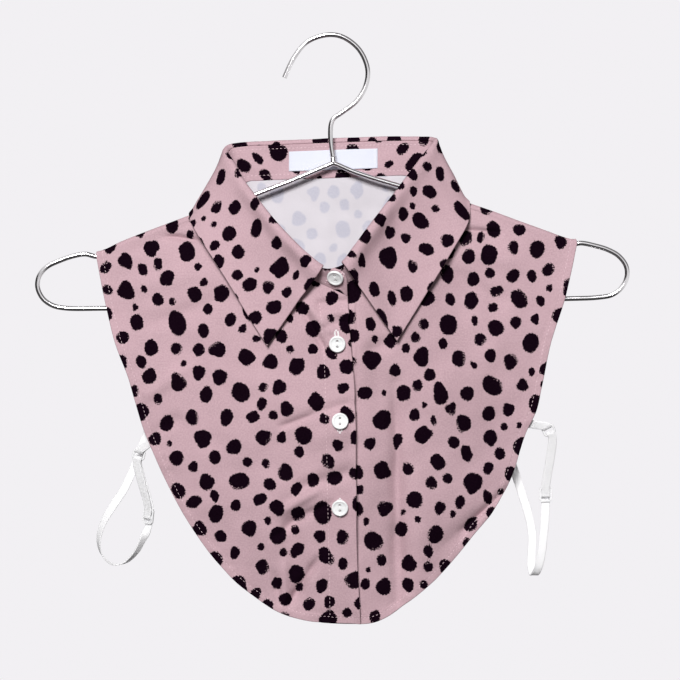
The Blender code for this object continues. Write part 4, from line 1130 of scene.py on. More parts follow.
def shell(name, faces_out_in, values_out_in, cloth, material):
    """A closed thin wall between two grids of points.

    values_out_in holds, for each face, its print, dryness and wrong side, one number a point.
    """
    rows, columns = faces_out_in[0].shape[:2]
    count = rows * columns
    points = np.vstack([face.reshape(-1, 3) for face in faces_out_in])
    outer = quads_of(rows, columns)
    inner = outer[:, ::-1] + count
    rim = np.concatenate([
        np.arange(columns),
        np.arange(1, rows) * columns + columns - 1,
        (rows - 1) * columns + np.arange(columns - 2, -1, -1),
        np.arange(rows - 2, 0, -1) * columns,
    ])
    after = np.roll(rim, -1)
    band = np.stack([rim, after, after + count, rim + count], axis=1)
    middle = faces_out_in[0][rows // 2, columns // 2] - faces_out_in[1][rows // 2, columns // 2]
    normal = grid_normals(faces_out_in[0])[rows // 2, columns // 2]
    quads = np.vstack([outer, inner, band])
    if np.dot(middle, normal) < 0:
        quads = quads[:, ::-1]
    mesh = mesh_of(name, points, quads.tolist(), material)
    for number, label in enumerate(("print_mm", "dry", "wrong_mm")):
        both = [values[number].reshape(-1) for values in values_out_in]
        add_values(mesh, label, np.concatenate(both))
    flat = cloth.reshape(-1, 2)
    add_map(mesh, "cloth", np.vstack([flat, flat]))
    places = [bake_places(rows, columns, side).reshape(-1, 2) for side in (0, 1)]
    add_map(mesh, "OFBake", np.vstack(places), rim=(4 * len(band), count))
    return add_object(name, mesh)


def mesh_of(name, points, faces, material):
    """A smooth mesh of points in mm and faces, with its finish."""
    mesh = bpy.data.meshes.new(name)
    mesh.from_pydata((points * MM).tolist(), [], faces)
    mesh.shade_smooth()
    mesh.materials.append(material)
    return mesh


def mesh_from(shape, name):
    """The smooth mesh of a shape, which it frees."""
    mesh = bpy.data.meshes.new(name)
    shape.to_mesh(mesh)
    shape.free()
    mesh.shade_smooth()
    return mesh


def add_values(mesh, label, values):
    layer = mesh.attributes.new(label, "FLOAT", "POINT")
    layer.data.foreach_set("value", values.astype(np.float32))


def add_map(mesh, label, places, rim=None):
    """A map of the mesh from one place a point. On a rim, the last loops, points of the
    inner face take the place of the outer one, a hair further on."""
    loops = np.empty(len(mesh.loops), np.int32)
    mesh.loops.foreach_get("vertex_index", loops)
    values = places[loops]
    if rim:
        band_loops, count = rim
        numbers = loops[-band_loops:]
        values[-band_loops:] = places[numbers % count]
        values[-band_loops:][numbers >= count] += BAKE_EDGE / 4
    layer = mesh.uv_layers.new(name=label)
    layer.data.foreach_set("uv", values.astype(np.float32).reshape(-1))


def add_object(name, data):
    thing = bpy.data.objects.new(name, data)
    bpy.context.scene.collection.objects.link(thing)
    return thing


def panel_faces(grid, way, seed, placket=None):
    """Both faces of a panel, with what the sewing does to them."""
    places = grid[..., 3:5]
    middle = grid[..., :3].copy()
    normals = facing(middle, way)
    from_hem = in_from(middle, 1, True) / slant_at_end(grid)[:, None]
    from_neck = in_from(middle, 1, False)
    from_start = in_from(middle, 0, False)
    from_end = in_from(middle, 0, True)
    calm = smooth_step(from_start, *CALM_ENDS) * smooth_step(from_neck, *CALM_NECK)
    if placket is None:
        calm = calm * smooth_step(from_end, *CALM_ENDS)
    lift = unevenness(places, PANEL_WAVES, seed)
    height, length, reach = PUCKER
    pucker = height * waves(places, length, seed + len(PANEL_WAVES)) * hump(from_hem - STITCH_IN, reach)
    offset = lift * calm + pucker * smooth_step(from_start, *PUCKER_SETS_IN)
    if placket is placket_over:
        height, reach = PLACKET_FLARE
        flare = (1 - smooth_step(from_end, 0.0, reach)) ** 2
        offset += height * flare * smooth_step(from_neck, *FLARE_SETS_IN)
    middle += normals * offset[..., None]
    normals = facing(middle, way)

    edge = np.minimum.reduce([from_hem, from_neck, from_start, from_end])
    hem = 1 - smooth_step(from_hem, *HEM_STEP)
    pulled = STITCH_DIP * hump(from_hem - STITCH_IN, HEM_DIP)
    out = FACE_OUT + (HEM_OUT - FACE_OUT) * hem - pulled
    inward = FACE_IN + (HEM_IN - FACE_IN) * hem - pulled
    turned = from_hem - HEM_WIDTH
    if placket is not None:
        inside = placket(middle, from_end)
        raised = PLACKET_RISE * smooth_step(inside, 0.0, PLACKET_STEP)
        out += raised - STITCH_DIP * hump(inside, PLACKET_DIP)
        inward += raised
        turned = np.minimum(turned, -inside)
    share = edge_round(edge)
    faces = [
        middle + normals * (out * share)[..., None],
        middle - normals * (inward * share)[..., None],
    ]
    return faces, places, normals, turned


def build_panel(name, grid, way, seed, material, placket=None):
    """One panel of printed cloth with its turned hem. It gives its object, the points of both
    faces and its normals."""
    faces, places, normals, turned = panel_faces(grid, way, seed, placket)
    spots = spots_over(places, seed)
    outer_print = print_at(places, spots)
    mirrored = 2 * places[:, -1:] - places
    inner_places = np.where((turned < 0)[..., None], mirrored, places)
    if placket is not None:
        beyond = 2 * places[-1:] - places
        in_placket = (placket(faces[0], in_from(faces[0], 0, True)) > 0)[..., None]
        inner_places = np.where(in_placket, beyond, inner_places)
    inner_print = print_at(inner_places, spots)
    right_side = np.full(turned.shape, -PRINT_FAR)
    values = [(*outer_print, right_side), (*inner_print, np.clip(turned, -PRINT_FAR, PRINT_FAR))]
    thing = shell(name, faces, values, places, material)
    return thing, faces, normals


def spread(grid, rows, columns, both_ends=False):
    """A dense panel with its points spread for the hem, the rounded edges and the shoulders."""
    grid = respaced(grid, 1, columns, EDGE_MARKS, HEM_MARKS, slant_at_end(grid))
    hung = SHOULDER_STEPS - 1
    if both_ends:
        return np.vstack([grid[:hung], respaced(grid[hung:-hung], 0, rows), grid[-hung:]])
    return np.vstack([grid[:hung], respaced(grid[hung:], 0, rows, end=EDGE_MARKS)])


def placket_over(points, _):
    """How far each point of the outer front lies inside the placket, past its stitch line."""
    seam = np.array(PLACKET_SEAM)[::-1]
    return points[..., 0] - np.interp(points[..., 2], seam[:, 1], seam[:, 0])


def placket_under(_, from_end):
    """The same for the front that lies under it, measured from its own front edge."""
    return PLACKET_WIDTH - from_end


def collar_piece(name, grid, seed, material):
    """A piece of the collar, two layers thick, with all its edges rounded."""
    across = in_from(grid, 1, False)
    places = np.dstack([travelled(grid).mean(axis=1)[:, None] + 0 * across, -across])
    spaced = np.dstack([grid, places])
    spaced = respaced(spaced, 1, grid.shape[1], EDGE_MARKS, EDGE_MARKS)
    spaced = respaced(spaced, 0, grid.shape[0], EDGE_MARKS, EDGE_MARKS)
    middle, places = spaced[..., :3].copy(), spaced[..., 3:5]
    edge = in_from_edges(middle)
    lift = unevenness(places, COLLAR_WAVES, seed)
    middle += facing(middle, TO_BACK) * (lift * smooth_step(edge, *CALM_COLLAR))[..., None]
    normals = facing(middle, TO_BACK)
    height = (COLLAR_FACE * edge_round(edge))[..., None]
    faces = [middle + normals * height, middle - normals * height]
    shown = print_at(places, spots_over(places, seed))
    right_side = np.full(edge.shape, -PRINT_FAR)
    values = [(*shown, right_side)] * 2
    return shell(name, faces, values, places, material), faces, normals


# ---------------------------------------------------------------- sewing


def tube_faces(rings, sides):
    """Faces of a closed tube from rings of points: its sides and both ends."""
    faces = []
    for start in range(0, (rings - 1) * sides, sides):
        for side in range(sides):
            here, there = start + side, start + (side + 1) % sides
            faces.append((here, here + sides, there + sides, there))
    last = (rings - 1) * sides
    return faces + [tuple(range(sides)), tuple(last + side for side in reversed(range(sides)))]


def stitch_form(length, thick, sink):
    """Points and faces of one stitch along X, its ends sunk into the cloth."""
    points = []
    for along, share in STITCH_RINGS:
        for side in range(STITCH_SIDES):
            turn = 2 * math.pi * side / STITCH_SIDES
            points.append((
                along * length / 2,
                share * thick / 2 * math.cos(turn),
                share * thick / 2 * math.sin(turn) - sink * along**2,
            ))
    return np.array(points), tube_faces(len(STITCH_RINGS), STITCH_SIDES)


def add_stitches(name, rows, material, size=STITCH, sink=0.3):
    """One mesh of many stitches, each given by its middle, its way along and its way out."""
    form, faces = stitch_form(size[0], size[2], sink)
    points, all_faces = [], []
    for centre, along, out in rows:
        along = unit(along)
        out = unit(np.array(out) - along * np.dot(along, out))
        axes = np.stack([along, np.cross(out, along), out])
        start = len(points) * len(form)
        points.append(centre + form @ axes)
        all_faces.extend(tuple(start + corner for corner in face) for face in faces)
    return add_object(name, mesh_of(name, np.vstack(points), all_faces, material))


def along_line(points, normals, size=STITCH, ends=1.5):
    """Where stitches lie along a line of points: middle, way along and way out of each."""
    travel = travelled(points)
    length, gap, _ = size
    run = travel[-1] - 2 * ends
    count = int(run / (length + gap))
    places = ends + (np.arange(count) + 0.5) * run / count

    def at(where, values):
        return np.stack([np.interp(where, travel, column) for column in values.T], axis=-1)

    ahead, behind = at(places + length / 2, points), at(places - length / 2, points)
    return list(zip(at(places, points), ahead - behind, at(places, normals)))


def stitches_through(faces, normals, column):
    """Stitches along one column of a piece, on both faces of its cloth."""
    outer = along_line(faces[0][:, column], normals[:, column])
    return outer + along_line(faces[1][:, column], -normals[:, column])


def on_cloth(tree, x, z):
    """The point and normal of the outer cloth straight behind a place in the front view."""
    place, normal, _, _ = tree.ray_cast(Vector((x, FAR_IN_FRONT, z)), Vector(TO_BACK))
    if normal.y > 0:
        normal = -normal
    return np.array(place), np.array(normal)


def stitches_on(tree, line, step=1.0):
    """Stitches along a line of x, z places on the cloth that a tree holds."""
    curve = flat_curve(line)
    places = curve.at(np.linspace(0, 1, int(curve.travel[-1] / step)))
    found = np.array([on_cloth(tree, x, z) for x, _, z in places])
    return along_line(found[:, 0], found[:, 1])


def buttonhole(tree, x, z, turn):
    """Worked edges of a buttonhole: a row of close stitches on each side and a bar at each end."""
    way = np.array([math.cos(turn), math.sin(turn)])
    aside = np.array([-way[1], way[0]])
    rows = []
    for step in np.arange(-HOLE_LENGTH / 2, HOLE_LENGTH / 2 + 0.01, HOLE_PITCH):
        at_end = abs(step) > HOLE_LENGTH / 2 - HOLE_BAR
        for side in ((0.0,) if at_end else (-1.0, 1.0)):
            flat = np.array([x, z]) + way * step + aside * side * HOLE_WIDTH / 3
            place, normal = on_cloth(tree, *flat)
            rows.append((place, np.array([aside[0], 0.0, aside[1]]), normal))
    return rows


# ---------------------------------------------------------------- buttons


def button_mesh(plastic):
    """A turned button with a raised rim and two holes, its back on the XY plane."""
    radius = BUTTON_WIDTH / 2
    section = [(radius - inward, height) for inward, height in BUTTON_TURNED]
    body = turned_mesh("button_body", section, BUTTON_SIDES)
    cutter = turned_mesh("button_cutter", HOLE_TURNED, HOLE_SIDES)
    thing = add_object("button_body", body)
    for side in (-1, 1):
        hole = add_object("button_hole", cutter)
        hole.location = (0.0, side * HOLES_APART / 2 * MM, 0.0)
        cut = thing.modifiers.new("hole", "BOOLEAN")
        cut.object = hole
        hole.hide_render = True
    bpy.context.view_layer.update()
    graph = bpy.context.evaluated_depsgraph_get()
    mesh = bpy.data.meshes.new_from_object(thing.evaluated_get(graph))
    for piece in [thing] + [cut.object for cut in thing.modifiers]:
        bpy.data.objects.remove(piece, do_unlink=True)
    mesh.materials.clear()
    mesh.materials.append(plastic)
    mesh.shade_smooth()
    mesh.set_sharp_from_angle(angle=math.radians(BUTTON_SHARP))
    return mesh


def turned_mesh(name, section, sides):
    """A closed turned body from rows of radius and height, first and last on the axis."""
    shape = bmesh.new()
    corners = [shape.verts.new((radius * MM, 0.0, height * MM)) for radius, height in section]
    edges = [shape.edges.new(pair) for pair in zip(corners, corners[1:])]
    bmesh.ops.spin(
        shape, geom=corners + edges, cent=(0, 0, 0), axis=(0, 0, 1),
        angle=2 * math.pi, steps=sides, use_merge=True,
    )
    bmesh.ops.remove_doubles(shape, verts=shape.verts, dist=1e-6)
    bmesh.ops.recalc_face_normals(shape, faces=shape.faces)
    return mesh_from(shape, name)


def place_at(thing, centre, axes):
    """Put a thing at a place in mm, with its own X, Y and Z along three ways."""
    turn = Matrix(axes).transposed().to_4x4()
    thing.matrix_world = Matrix.Translation(Vector(centre) * MM) @ turn


def add_button(node, mesh, tree, x, z):
    """A button that lies on the cloth, level with the places round it."""
    reach = BUTTON_WIDTH / 2 - 1
    right, left, top, foot = (
        on_cloth(tree, x + a * reach, z + b * reach)[0] for a, b in ((-1, 0), (1, 0), (0, 1), (0, -1))
    )
    normal = unit(np.cross(left - right, top - foot))
    normal = -normal if normal[1] > 0 else normal
    middle = (right + left + top + foot) / 4
    centre, _ = on_cloth(tree, x, z)
    height = max(np.dot(centre - middle, normal), 0.0) + BUTTON_SEAT
    centre = middle + normal * height
    up = unit(np.array([0, 0, 1.0]) - normal * normal[2])
    axes = (np.cross(up, normal), up, normal)
    thing = add_object(node + "_disc", mesh)
    place_at(thing, centre, axes)
    return thing, centre, axes


def button_threads(places, material):
    """The strands that hold each button, between its two holes and down to the cloth."""
    apart, on_top, in_hole, thick = STRANDS
    rows = []
    for middle, (across, up, out) in places:
        for side in (-1, 1):
            rows.append((middle + across * side * apart + out * on_top, up, out))
        for side in (-1, 1):
            rows.append((middle + up * side * HOLES_APART / 2 + out * in_hole, out, up))
    return add_stitches("button_threads", rows, material, (HOLES_APART, 0.0, thick), sink=0.0)


# ---------------------------------------------------------------- elastics


def bend_steps(points, longest, sharpest):
    """Which points of a fine curve to keep: close together where it bends, far apart where straight."""
    chosen = [0]
    turned, travelled = 0.0, 0.0
    for i in range(1, len(points) - 1):
        before, after = points[i] - points[i - 1], points[i + 1] - points[i]
        cosine = np.dot(before, after) / np.linalg.norm(before) / np.linalg.norm(after)
        turned += math.degrees(math.acos(min(1.0, cosine)))
        travelled += np.linalg.norm(before)
        if turned > sharpest or travelled > longest:
            chosen.append(i)
            turned, travelled = 0.0, 0.0
    return chosen + [len(points) - 1]


def fitting_axes(place):
    """Centre of a fitting with the ways down it, across it and out of it to the front."""
    centre, hang, turn = place
    hang, turn = math.radians(hang), math.radians(turn)
    down = np.array([math.sin(hang), 0.0, -math.cos(hang)])
    side = np.array([math.cos(turn), math.sin(turn), 0.0])
    side = unit(side - down * np.dot(side, down))
    front = np.cross(down, side)
    return np.array(centre), down, side, front


def in_fitting(place, rows):
    """Points given down a fitting and out of its face, as rows of place and band direction."""
    centre, down, side, front = fitting_axes(place)
    return [(*(centre + down * below + front * out), *side) for below, out in rows]


def slider_pass():
    """The running band: behind the lower bar, then over the middle and the upper one."""
    ahead, behind = LAYER_APART, -LAYER_APART
    below = [(8.0, -0.9), (4.6, behind), (3.2, behind), (2.2, 0.0)]
    return below + [(1.2, ahead), (0.0, ahead), (-5.0, ahead)]


def round_bar(start, stop):
    """Points of a band round a ring's bar: past the bar's centre, out of the ring's face."""
    angles = np.radians(np.linspace(start, stop, 5))
    return [(ROUND_BAR * math.sin(angle), ROUND_BAR * math.cos(angle)) for angle in angles]


def ring_pass():
    """The band through the ring: up in front, round the lower bar, and down behind."""
    bar = RING_HALF[1]
    bend = [(bar - past, out) for past, out in round_bar(0, 180)]
    below = bar + 2 * RING_WIRE
    return [(below, RING_WIRE), *bend, (below, -RING_WIRE)]


def band_rows(free, slider, ring, side_sign):
    """The whole run of one elastic, as x, y, z and the direction of its width."""
    rows = []
    for x, y, z, face in free:
        turn = math.radians(face)
        rows.append((x, y, z, math.cos(turn), math.sin(turn), 0.0))
    flip = np.array([1, 1, 1, side_sign, side_sign, side_sign])
    end = [(-5.2, -LAYER_APART), (-0.4, -LAYER_APART)]
    for place, run in ((slider, slider_pass()), (ring, ring_pass()), (slider, end)):
        rows += [tuple(np.array(row) * flip) for row in in_fitting(place, run)]
    return rows


def tab_rows(start, ring):
    """A short folded tab from inside the front's edge, round the ring's upper bar."""
    centre, down, side, _ = fitting_axes(ring)
    start = np.array(start)
    bar = RING_HALF[1]
    inner = in_fitting(ring, [(past - bar, out) for past, out in round_bar(0, 180)])
    pull = unit(start - (centre - down * bar))
    across = unit(side - pull * np.dot(side, pull))
    half_way = start - pull * (np.linalg.norm(start - centre) - bar) * 0.45
    ahead = np.array([0.0, -1.0, 0.0])
    runs = []
    for way in (1, -1):
        end = start + way * ahead * TAB_LAYERS / 2
        middle = half_way + way * ahead * (TAB_LAYERS / 2 + TAB_BULGE)
        runs.append([(*end, *across), (*middle, *across)])
    return runs[0] + inner + runs[1][::-1]


def band_outline():
    """Section of the elastic: ribbed faces and round edges, as across and out of its middle."""
    half_wide, half_thick = BAND_WIDTH / 2, BAND_THICK / 2
    ribs_in, round_in = BAND_SIDE
    across = np.linspace(-half_wide + ribs_in, half_wide - ribs_in, BAND_RIBS)
    ribs = half_thick - BAND_RIB * (np.arange(BAND_RIBS) % 2)
    face = list(zip(across, ribs))
    side = [(half_wide - round_in * abs(way), half_thick * 0.6 * way) for way in (1, 0, -1)]
    return face + side + [(-a, -b) for a, b in face] + [(-a, -b) for a, b in side]


def add_band(name, rows, material):
    """A flat ribbed elastic swept along its rows."""
    curve = Curve(rows)
    values = curve.points[bend_steps(curve.points[:, 0:3], *BAND_BENDS)]
    points, width = values[:, 0:3], values[:, 3:6]
    along = unit(np.gradient(points, axis=0))
    width = unit(width - along * np.sum(along * width, axis=1, keepdims=True))
    face = np.cross(along, width)
    outline = band_outline()
    rings = np.stack([points + a * width + b * face for a, b in outline], axis=1)
    mesh = mesh_of(name, rings.reshape(-1, 3), tube_faces(*rings.shape[:2]), material)
    flat = np.array([[(a, run) for a, _ in outline] for run in travelled(points)]).reshape(-1, 2)
    add_map(mesh, "cloth", flat)
    shape = bmesh.new()
    shape.from_mesh(mesh)
    bmesh.ops.recalc_face_normals(shape, faces=shape.faces)
    shape.to_mesh(mesh)
    shape.free()
    mesh.set_sharp_from_angle(angle=math.radians(BAND_SHARP))
    return add_object(name, mesh)


def add_tube(name, points, radius, closed, sides, material):
    """A round bar along a line of points."""
    shape = bpy.data.curves.new(name, "CURVE")
    shape.dimensions = "3D"
    shape.bevel_depth = radius * MM
    shape.bevel_resolution = sides // 2 - 2
    shape.use_fill_caps = True
    line = shape.splines.new("POLY")
    line.points.add(len(points) - 1)
    for place, point in zip(line.points, points):
        place.co = (*(Vector(point) * MM), 1.0)
    line.use_cyclic_u = closed
    shape.materials.append(material)
    return add_object(name, shape)


def add_ring(name, place, plastic):
    """A rounded oblong ring of plastic."""
    centre, down, side, _ = fitting_axes(place)
    half_wide, half_high = RING_HALF
    points = []
    for quarter, (across, along) in enumerate(((1, 1), (-1, 1), (-1, -1), (1, -1))):
        for step in np.linspace(0, 1, RING_STEPS):
            turn = (quarter + step) * math.pi / 2
            wide = across * (half_wide - RING_CORNER) + RING_CORNER * math.cos(turn)
            high = along * (half_high - RING_CORNER) + RING_CORNER * math.sin(turn)
            points.append(centre + side * wide + down * high)
    return add_tube(name, points, RING_WIRE / 2, True, RING_SIDES, plastic)


def add_slider(name, place, plastic):
    """A plate with two slots and a bar between them, its edges rounded."""
    centre, down, side, _ = fitting_axes(place)
    half_wide, half_high = SLIDER_SIZE[0] / 2, SLIDER_SIZE[1] / 2
    slot_wide, slot_high = SLIDER_SLOT[0] / 2, SLIDER_SLOT[1]
    bar = (SLIDER_SIZE[1] - 2 * slot_high) / 3
    across = [-half_wide, -slot_wide, slot_wide, half_wide]
    along = [-half_high, -half_high + bar, -bar / 2, bar / 2, half_high - bar, half_high]
    shape = bmesh.new()
    corners = [[shape.verts.new((a * MM, b * MM, 0.0)) for a in across] for b in along]
    for row in range(5):
        for column in range(3):
            if column == 1 and row in (1, 3):
                continue
            shape.faces.new((
                corners[row][column], corners[row][column + 1],
                corners[row + 1][column + 1], corners[row + 1][column],
            ))
    ends = [corners[row][column] for row in (0, 5) for column in (0, 3)]
    bmesh.ops.bevel(shape, geom=ends, offset=SLIDER_CORNER * MM, segments=5, affect="VERTICES")
    mesh = mesh_from(shape, name)
    mesh.materials.append(plastic)
    thing = add_object(name, mesh)
    place_at(thing, centre, (side, -down, np.cross(side, -down)))
    thick = thing.modifiers.new("thickness", "SOLIDIFY")
    thick.thickness = SLIDER_THICK * MM
    thick.offset = 0.0
    soft = thing.modifiers.new("soft edges", "BEVEL")
    soft.width = SLIDER_EDGE * MM
    soft.segments = 4
    soft.limit_method = "ANGLE"
    soft.harden_normals = True
    return thing


# ---------------------------------------------------------------- label and hanger


def label_grid(grid, normals):
    """Middle surface of the label on the inside of the stand, from its middle surface."""
    behind = grid[:, 0, 1] > 0
    low, high, out = grid[behind, 0], grid[behind, -1], normals[behind, grid.shape[1] // 2]
    across = np.linspace(*LABEL_ENDS, LABEL_POINTS[0])
    rows = []
    for share in np.linspace(*LABEL_SPAN, LABEL_POINTS[1]):
        row = low + share * (high - low) - LABEL_OFF * out
        order = np.argsort(row[:, 0])
        rows.append(np.stack([np.interp(across, row[order, 0], row[order, k]) for k in range(3)], axis=-1))
    label = np.array(rows)
    part = np.linspace(-1, 1, LABEL_POINTS[0])[None, :]
    label[..., 1] -= LABEL_PUFF * (1 - part**4) * (0.7 + 0.3 * np.cos(7 * part))
    return label


def build_label(stand, stand_normals, woven, thread):
    label = label_grid(stand, stand_normals)
    label = respaced(label, 0, LABEL_POINTS[1], LABEL_EDGE, LABEL_EDGE)
    label = respaced(label, 1, LABEL_POINTS[0], LABEL_EDGE + LABEL_FOLD, LABEL_EDGE + LABEL_FOLD)
    normals = facing(label, TO_FRONT)
    edge = in_from_edges(label)
    ends = np.minimum(in_from(label, 1, False), in_from(label, 1, True))
    thick = LABEL_THICK * (1 + 0.8 * (1 - smooth_step(ends, *LABEL_FOLD)))
    half = (thick / 2 * np.sqrt(np.clip(edge / LABEL_EDGE[-1], 0.05, 1)))[..., None]
    faces = [label + normals * half, label - normals * half]
    places = np.dstack([in_from(label, 1, False), in_from(label, 0, False)])
    flat = np.zeros(edge.shape)
    thing = shell("neck_label_tape", faces, [(flat, flat, flat)] * 2, places, woven)
    rows = []
    for column in (4, label.shape[1] - 5):
        rows += along_line(faces[0][:, column], normals[:, column], LABEL_STITCH, 0.6)
    return thing, add_stitches("neck_label_stitches", rows, thread, LABEL_STITCH)


def build_hanger(steel):
    """The hook, the loop and the weld between them."""
    wires = []
    for name, table, closed in (("hook_wire", HOOK, False), ("frame_wire", LOOP, True)):
        points = flat_curve(table, closed).points
        kept = bend_steps(points, *WIRE_BENDS)
        points = points[kept[:-1] if closed else kept]
        wires.append(add_tube(name, points, WIRE / 2, closed, WIRE_SIDES, steel))
    above, foot = (np.array([x, 0.0, z]) for x, z in HOOK[-2:])
    weld = turned_mesh("weld", WELD_TURNED, WIRE_SIDES)
    weld.materials.append(steel)
    bead = add_object("hook_weld", weld)
    turn = Vector(foot - above).to_track_quat("Z", "Y").to_matrix().to_4x4()
    bead.matrix_world = Matrix.Translation(Vector(foot) * MM) @ turn
    return *wires, bead


# ---------------------------------------------------------------- materials


class Nodes:
    """A node tree, with short ways to add and join its nodes."""

    def __init__(self, tree):
        self.tree = tree

    def put(self, socket, value):
        if isinstance(value, bpy.types.NodeSocket):
            self.tree.links.new(value, socket)
        else:
            socket.default_value = value

    def add(self, kind, inputs):
        """A new node, its inputs set by name or number to values or to outputs of other nodes."""
        node = self.tree.nodes.new("ShaderNode" + kind)
        for label, value in inputs.items():
            self.put(node.inputs[label], value)
        return node


class Finish(Nodes):
    """A material, with short ways to build what it looks like."""

    def __init__(self, name, colour, roughness, metallic=0.0, **sockets):
        self.material = bpy.data.materials.new(name)
        self.material.use_nodes = True
        super().__init__(self.material.node_tree)
        self.shader = self.tree.nodes["Principled BSDF"]
        self.say(Base_Color=(*colour, 1.0), Roughness=roughness, Metallic=metallic, **sockets)

    def say(self, **sockets):
        """Set the shader's own sockets, with _ for the spaces in their names."""
        for label, value in sockets.items():
            self.put(self.shader.inputs[label.replace("_", " ")], value)

    def map(self, name):
        node = self.add("UVMap", {})
        node.uv_map = name
        return node.outputs["UV"]

    def object_places(self):
        return self.add("TexCoord", {}).outputs["Object"]

    def value(self, name):
        node = self.add("Attribute", {})
        node.attribute_name = name
        return node.outputs["Fac"]

    def maths(self, operation, *values):
        node = self.add("Math", dict(enumerate(values)))
        node.operation = operation
        return node.outputs[0]

    def noise(self, places, scale, detail=2.0, roughness=0.5, stretch=None):
        if stretch:
            places = self.add("Mapping", {"Vector": places, "Scale": stretch}).outputs[0]
        inputs = {"Vector": places, "Scale": scale, "Detail": detail, "Roughness": roughness}
        return self.add("TexNoise", inputs).outputs["Fac"]

    def ramp(self, value, low, high, to_low=0.0, to_high=1.0):
        node = self.add("MapRange", dict(enumerate((value, low, high, to_low, to_high))))
        node.interpolation_type = "SMOOTHSTEP"
        return node.outputs[0]

    def bands(self, places, scale, direction):
        inputs = {"Vector": places, "Scale": scale, "Distortion": 0.6, "Detail Scale": 2.0}
        node = self.add("TexWave", inputs)
        node.bands_direction = direction
        return node.outputs["Fac"]

    def mix(self, share, first, second):
        node = self.add("Mix", {0: share})
        node.data_type = "RGBA"
        for number, value in ((6, first), (7, second)):
            self.put(node.inputs[number], (*value, 1.0) if isinstance(value, tuple) else value)
        return node.outputs[2]

    def bump(self, height, distance, strength, under=None):
        inputs = {"Height": height, "Distance": distance * MM, "Strength": strength}
        if under:
            inputs["Normal"] = under
        return self.add("Bump", inputs).outputs[0]


def spotted_cotton():
    """Dusty pink cotton printed with ragged near-black spots, off-white on its wrong side."""
    cloth = Finish("spotted_cotton", PINK, 0.9, Specular_IOR_Level=0.0)
    places = cloth.map("cloth")
    weave = cloth.noise(places, *WEAVE)
    cloudy = cloth.noise(places, *CLOUDS)
    ragged = cloth.maths("SUBTRACT", cloth.noise(places, *RAGGED), 0.5)
    ragged = cloth.maths("MULTIPLY", ragged, RAGGED_BY)
    outside = cloth.maths("ADD", cloth.value("print_mm"), ragged)
    spot = cloth.ramp(outside, -0.1, 0.1, 1.0, 0.0)
    scratch = cloth.noise(places, *SCRATCHES)
    bare = cloth.maths("SUBTRACT", 0.82, cloth.maths("MULTIPLY", cloth.value("dry"), 0.3))
    worn = cloth.ramp(cloth.maths("SUBTRACT", scratch, bare), 0.0, 0.035)
    spot = cloth.maths("MULTIPLY", spot, cloth.maths("SUBTRACT", 1.0, worn))
    pink = cloth.mix(cloth.ramp(cloudy, 0.3, 0.7), PINK, PINK_DEEP)
    pink = cloth.mix(cloth.ramp(weave, 0.36, 0.66), pink, PINK_LIGHT)
    black = cloth.mix(cloth.ramp(weave, 0.35, 0.75), SPOT_BLACK, SPOT_SOFT)
    printed = cloth.mix(spot, pink, black)
    shadow = cloth.ramp(cloth.value("print_mm"), -1.1, 0.7, 0.85, 0.0)
    wrong = cloth.mix(shadow, WRONG_SIDE, WRONG_SPOT)
    wrong = cloth.mix(cloth.ramp(weave, 0.3, 0.75, 0.0, 0.4), wrong, WRONG_LIGHT)
    side = cloth.ramp(cloth.value("wrong_mm"), -0.08, 0.08)
    cloth.say(Base_Color=cloth.mix(side, printed, wrong))
    threads = cloth.maths("ADD", cloth.bands(places, 0.66, "X"), cloth.bands(places, 0.6, "Y"))
    fine = cloth.bump(threads, 0.035, 0.3)
    cloth.say(Normal=cloth.bump(cloth.noise(places, *CRINKLE), 0.55, 0.3, fine))
    return cloth.material


def sewing_thread(name, light, dark):
    thread = Finish(name, light, 0.6, Sheen_Weight=0.1)
    places = thread.object_places()
    twist = thread.noise(places, 1800.0, 2.0)
    thread.say(Base_Color=thread.mix(thread.ramp(twist, 0.3, 0.7), light, dark))
    thread.say(Normal=thread.bump(twist, 0.05, 0.4))
    return thread.material


def ribbed_elastic():
    band = Finish("white_elastic", ELASTIC_WHITE, 0.72, Subsurface_Weight=0.6)
    band.say(Subsurface_Radius=(1.0, 1.0, 1.0), Subsurface_Scale=ELASTIC_DEPTH * MM)
    places = band.map("cloth")
    ribs = band.bands(places, 0.36, "X")
    knit = band.bands(places, 0.3, "Y")
    # Painted shade: the colour is darker in the grooves between the ribs and the knit's loops
    band.say(Base_Color=band.mix(band.maths("MULTIPLY", ribs, knit), ELASTIC_SHADE, ELASTIC_WHITE))
    under = band.bump(band.maths("ADD", ribs, knit), 0.03, 0.2)
    band.say(Normal=band.bump(band.noise(places, 1.6), 0.04, 0.2, under))
    return band.material


def white_plastic(name, colour, shade, roughness):
    plastic = Finish(name, colour, roughness, Coat_Weight=0.2, Coat_Roughness=0.15)
    places = plastic.object_places()
    swirl = plastic.ramp(plastic.noise(places, *SWIRL), 0.38, 0.68)
    plastic.say(Base_Color=plastic.mix(swirl, colour, shade))
    plastic.say(Normal=plastic.bump(plastic.noise(places, 900.0), 0.02, 0.15))
    return plastic.material


def woven_label():
    label = Finish("woven_label", LABEL_WHITE, 0.55, Sheen_Weight=0.2)
    places = label.map("cloth")
    satin = label.bands(places, 0.85, "Y")
    picks = label.noise(places, *PICKS)
    label.say(Base_Color=label.mix(label.ramp(picks, 0.35, 0.7), LABEL_WHITE, LABEL_SHADE))
    label.say(Normal=label.bump(label.maths("ADD", satin, picks), 0.05, 0.4))
    return label.material


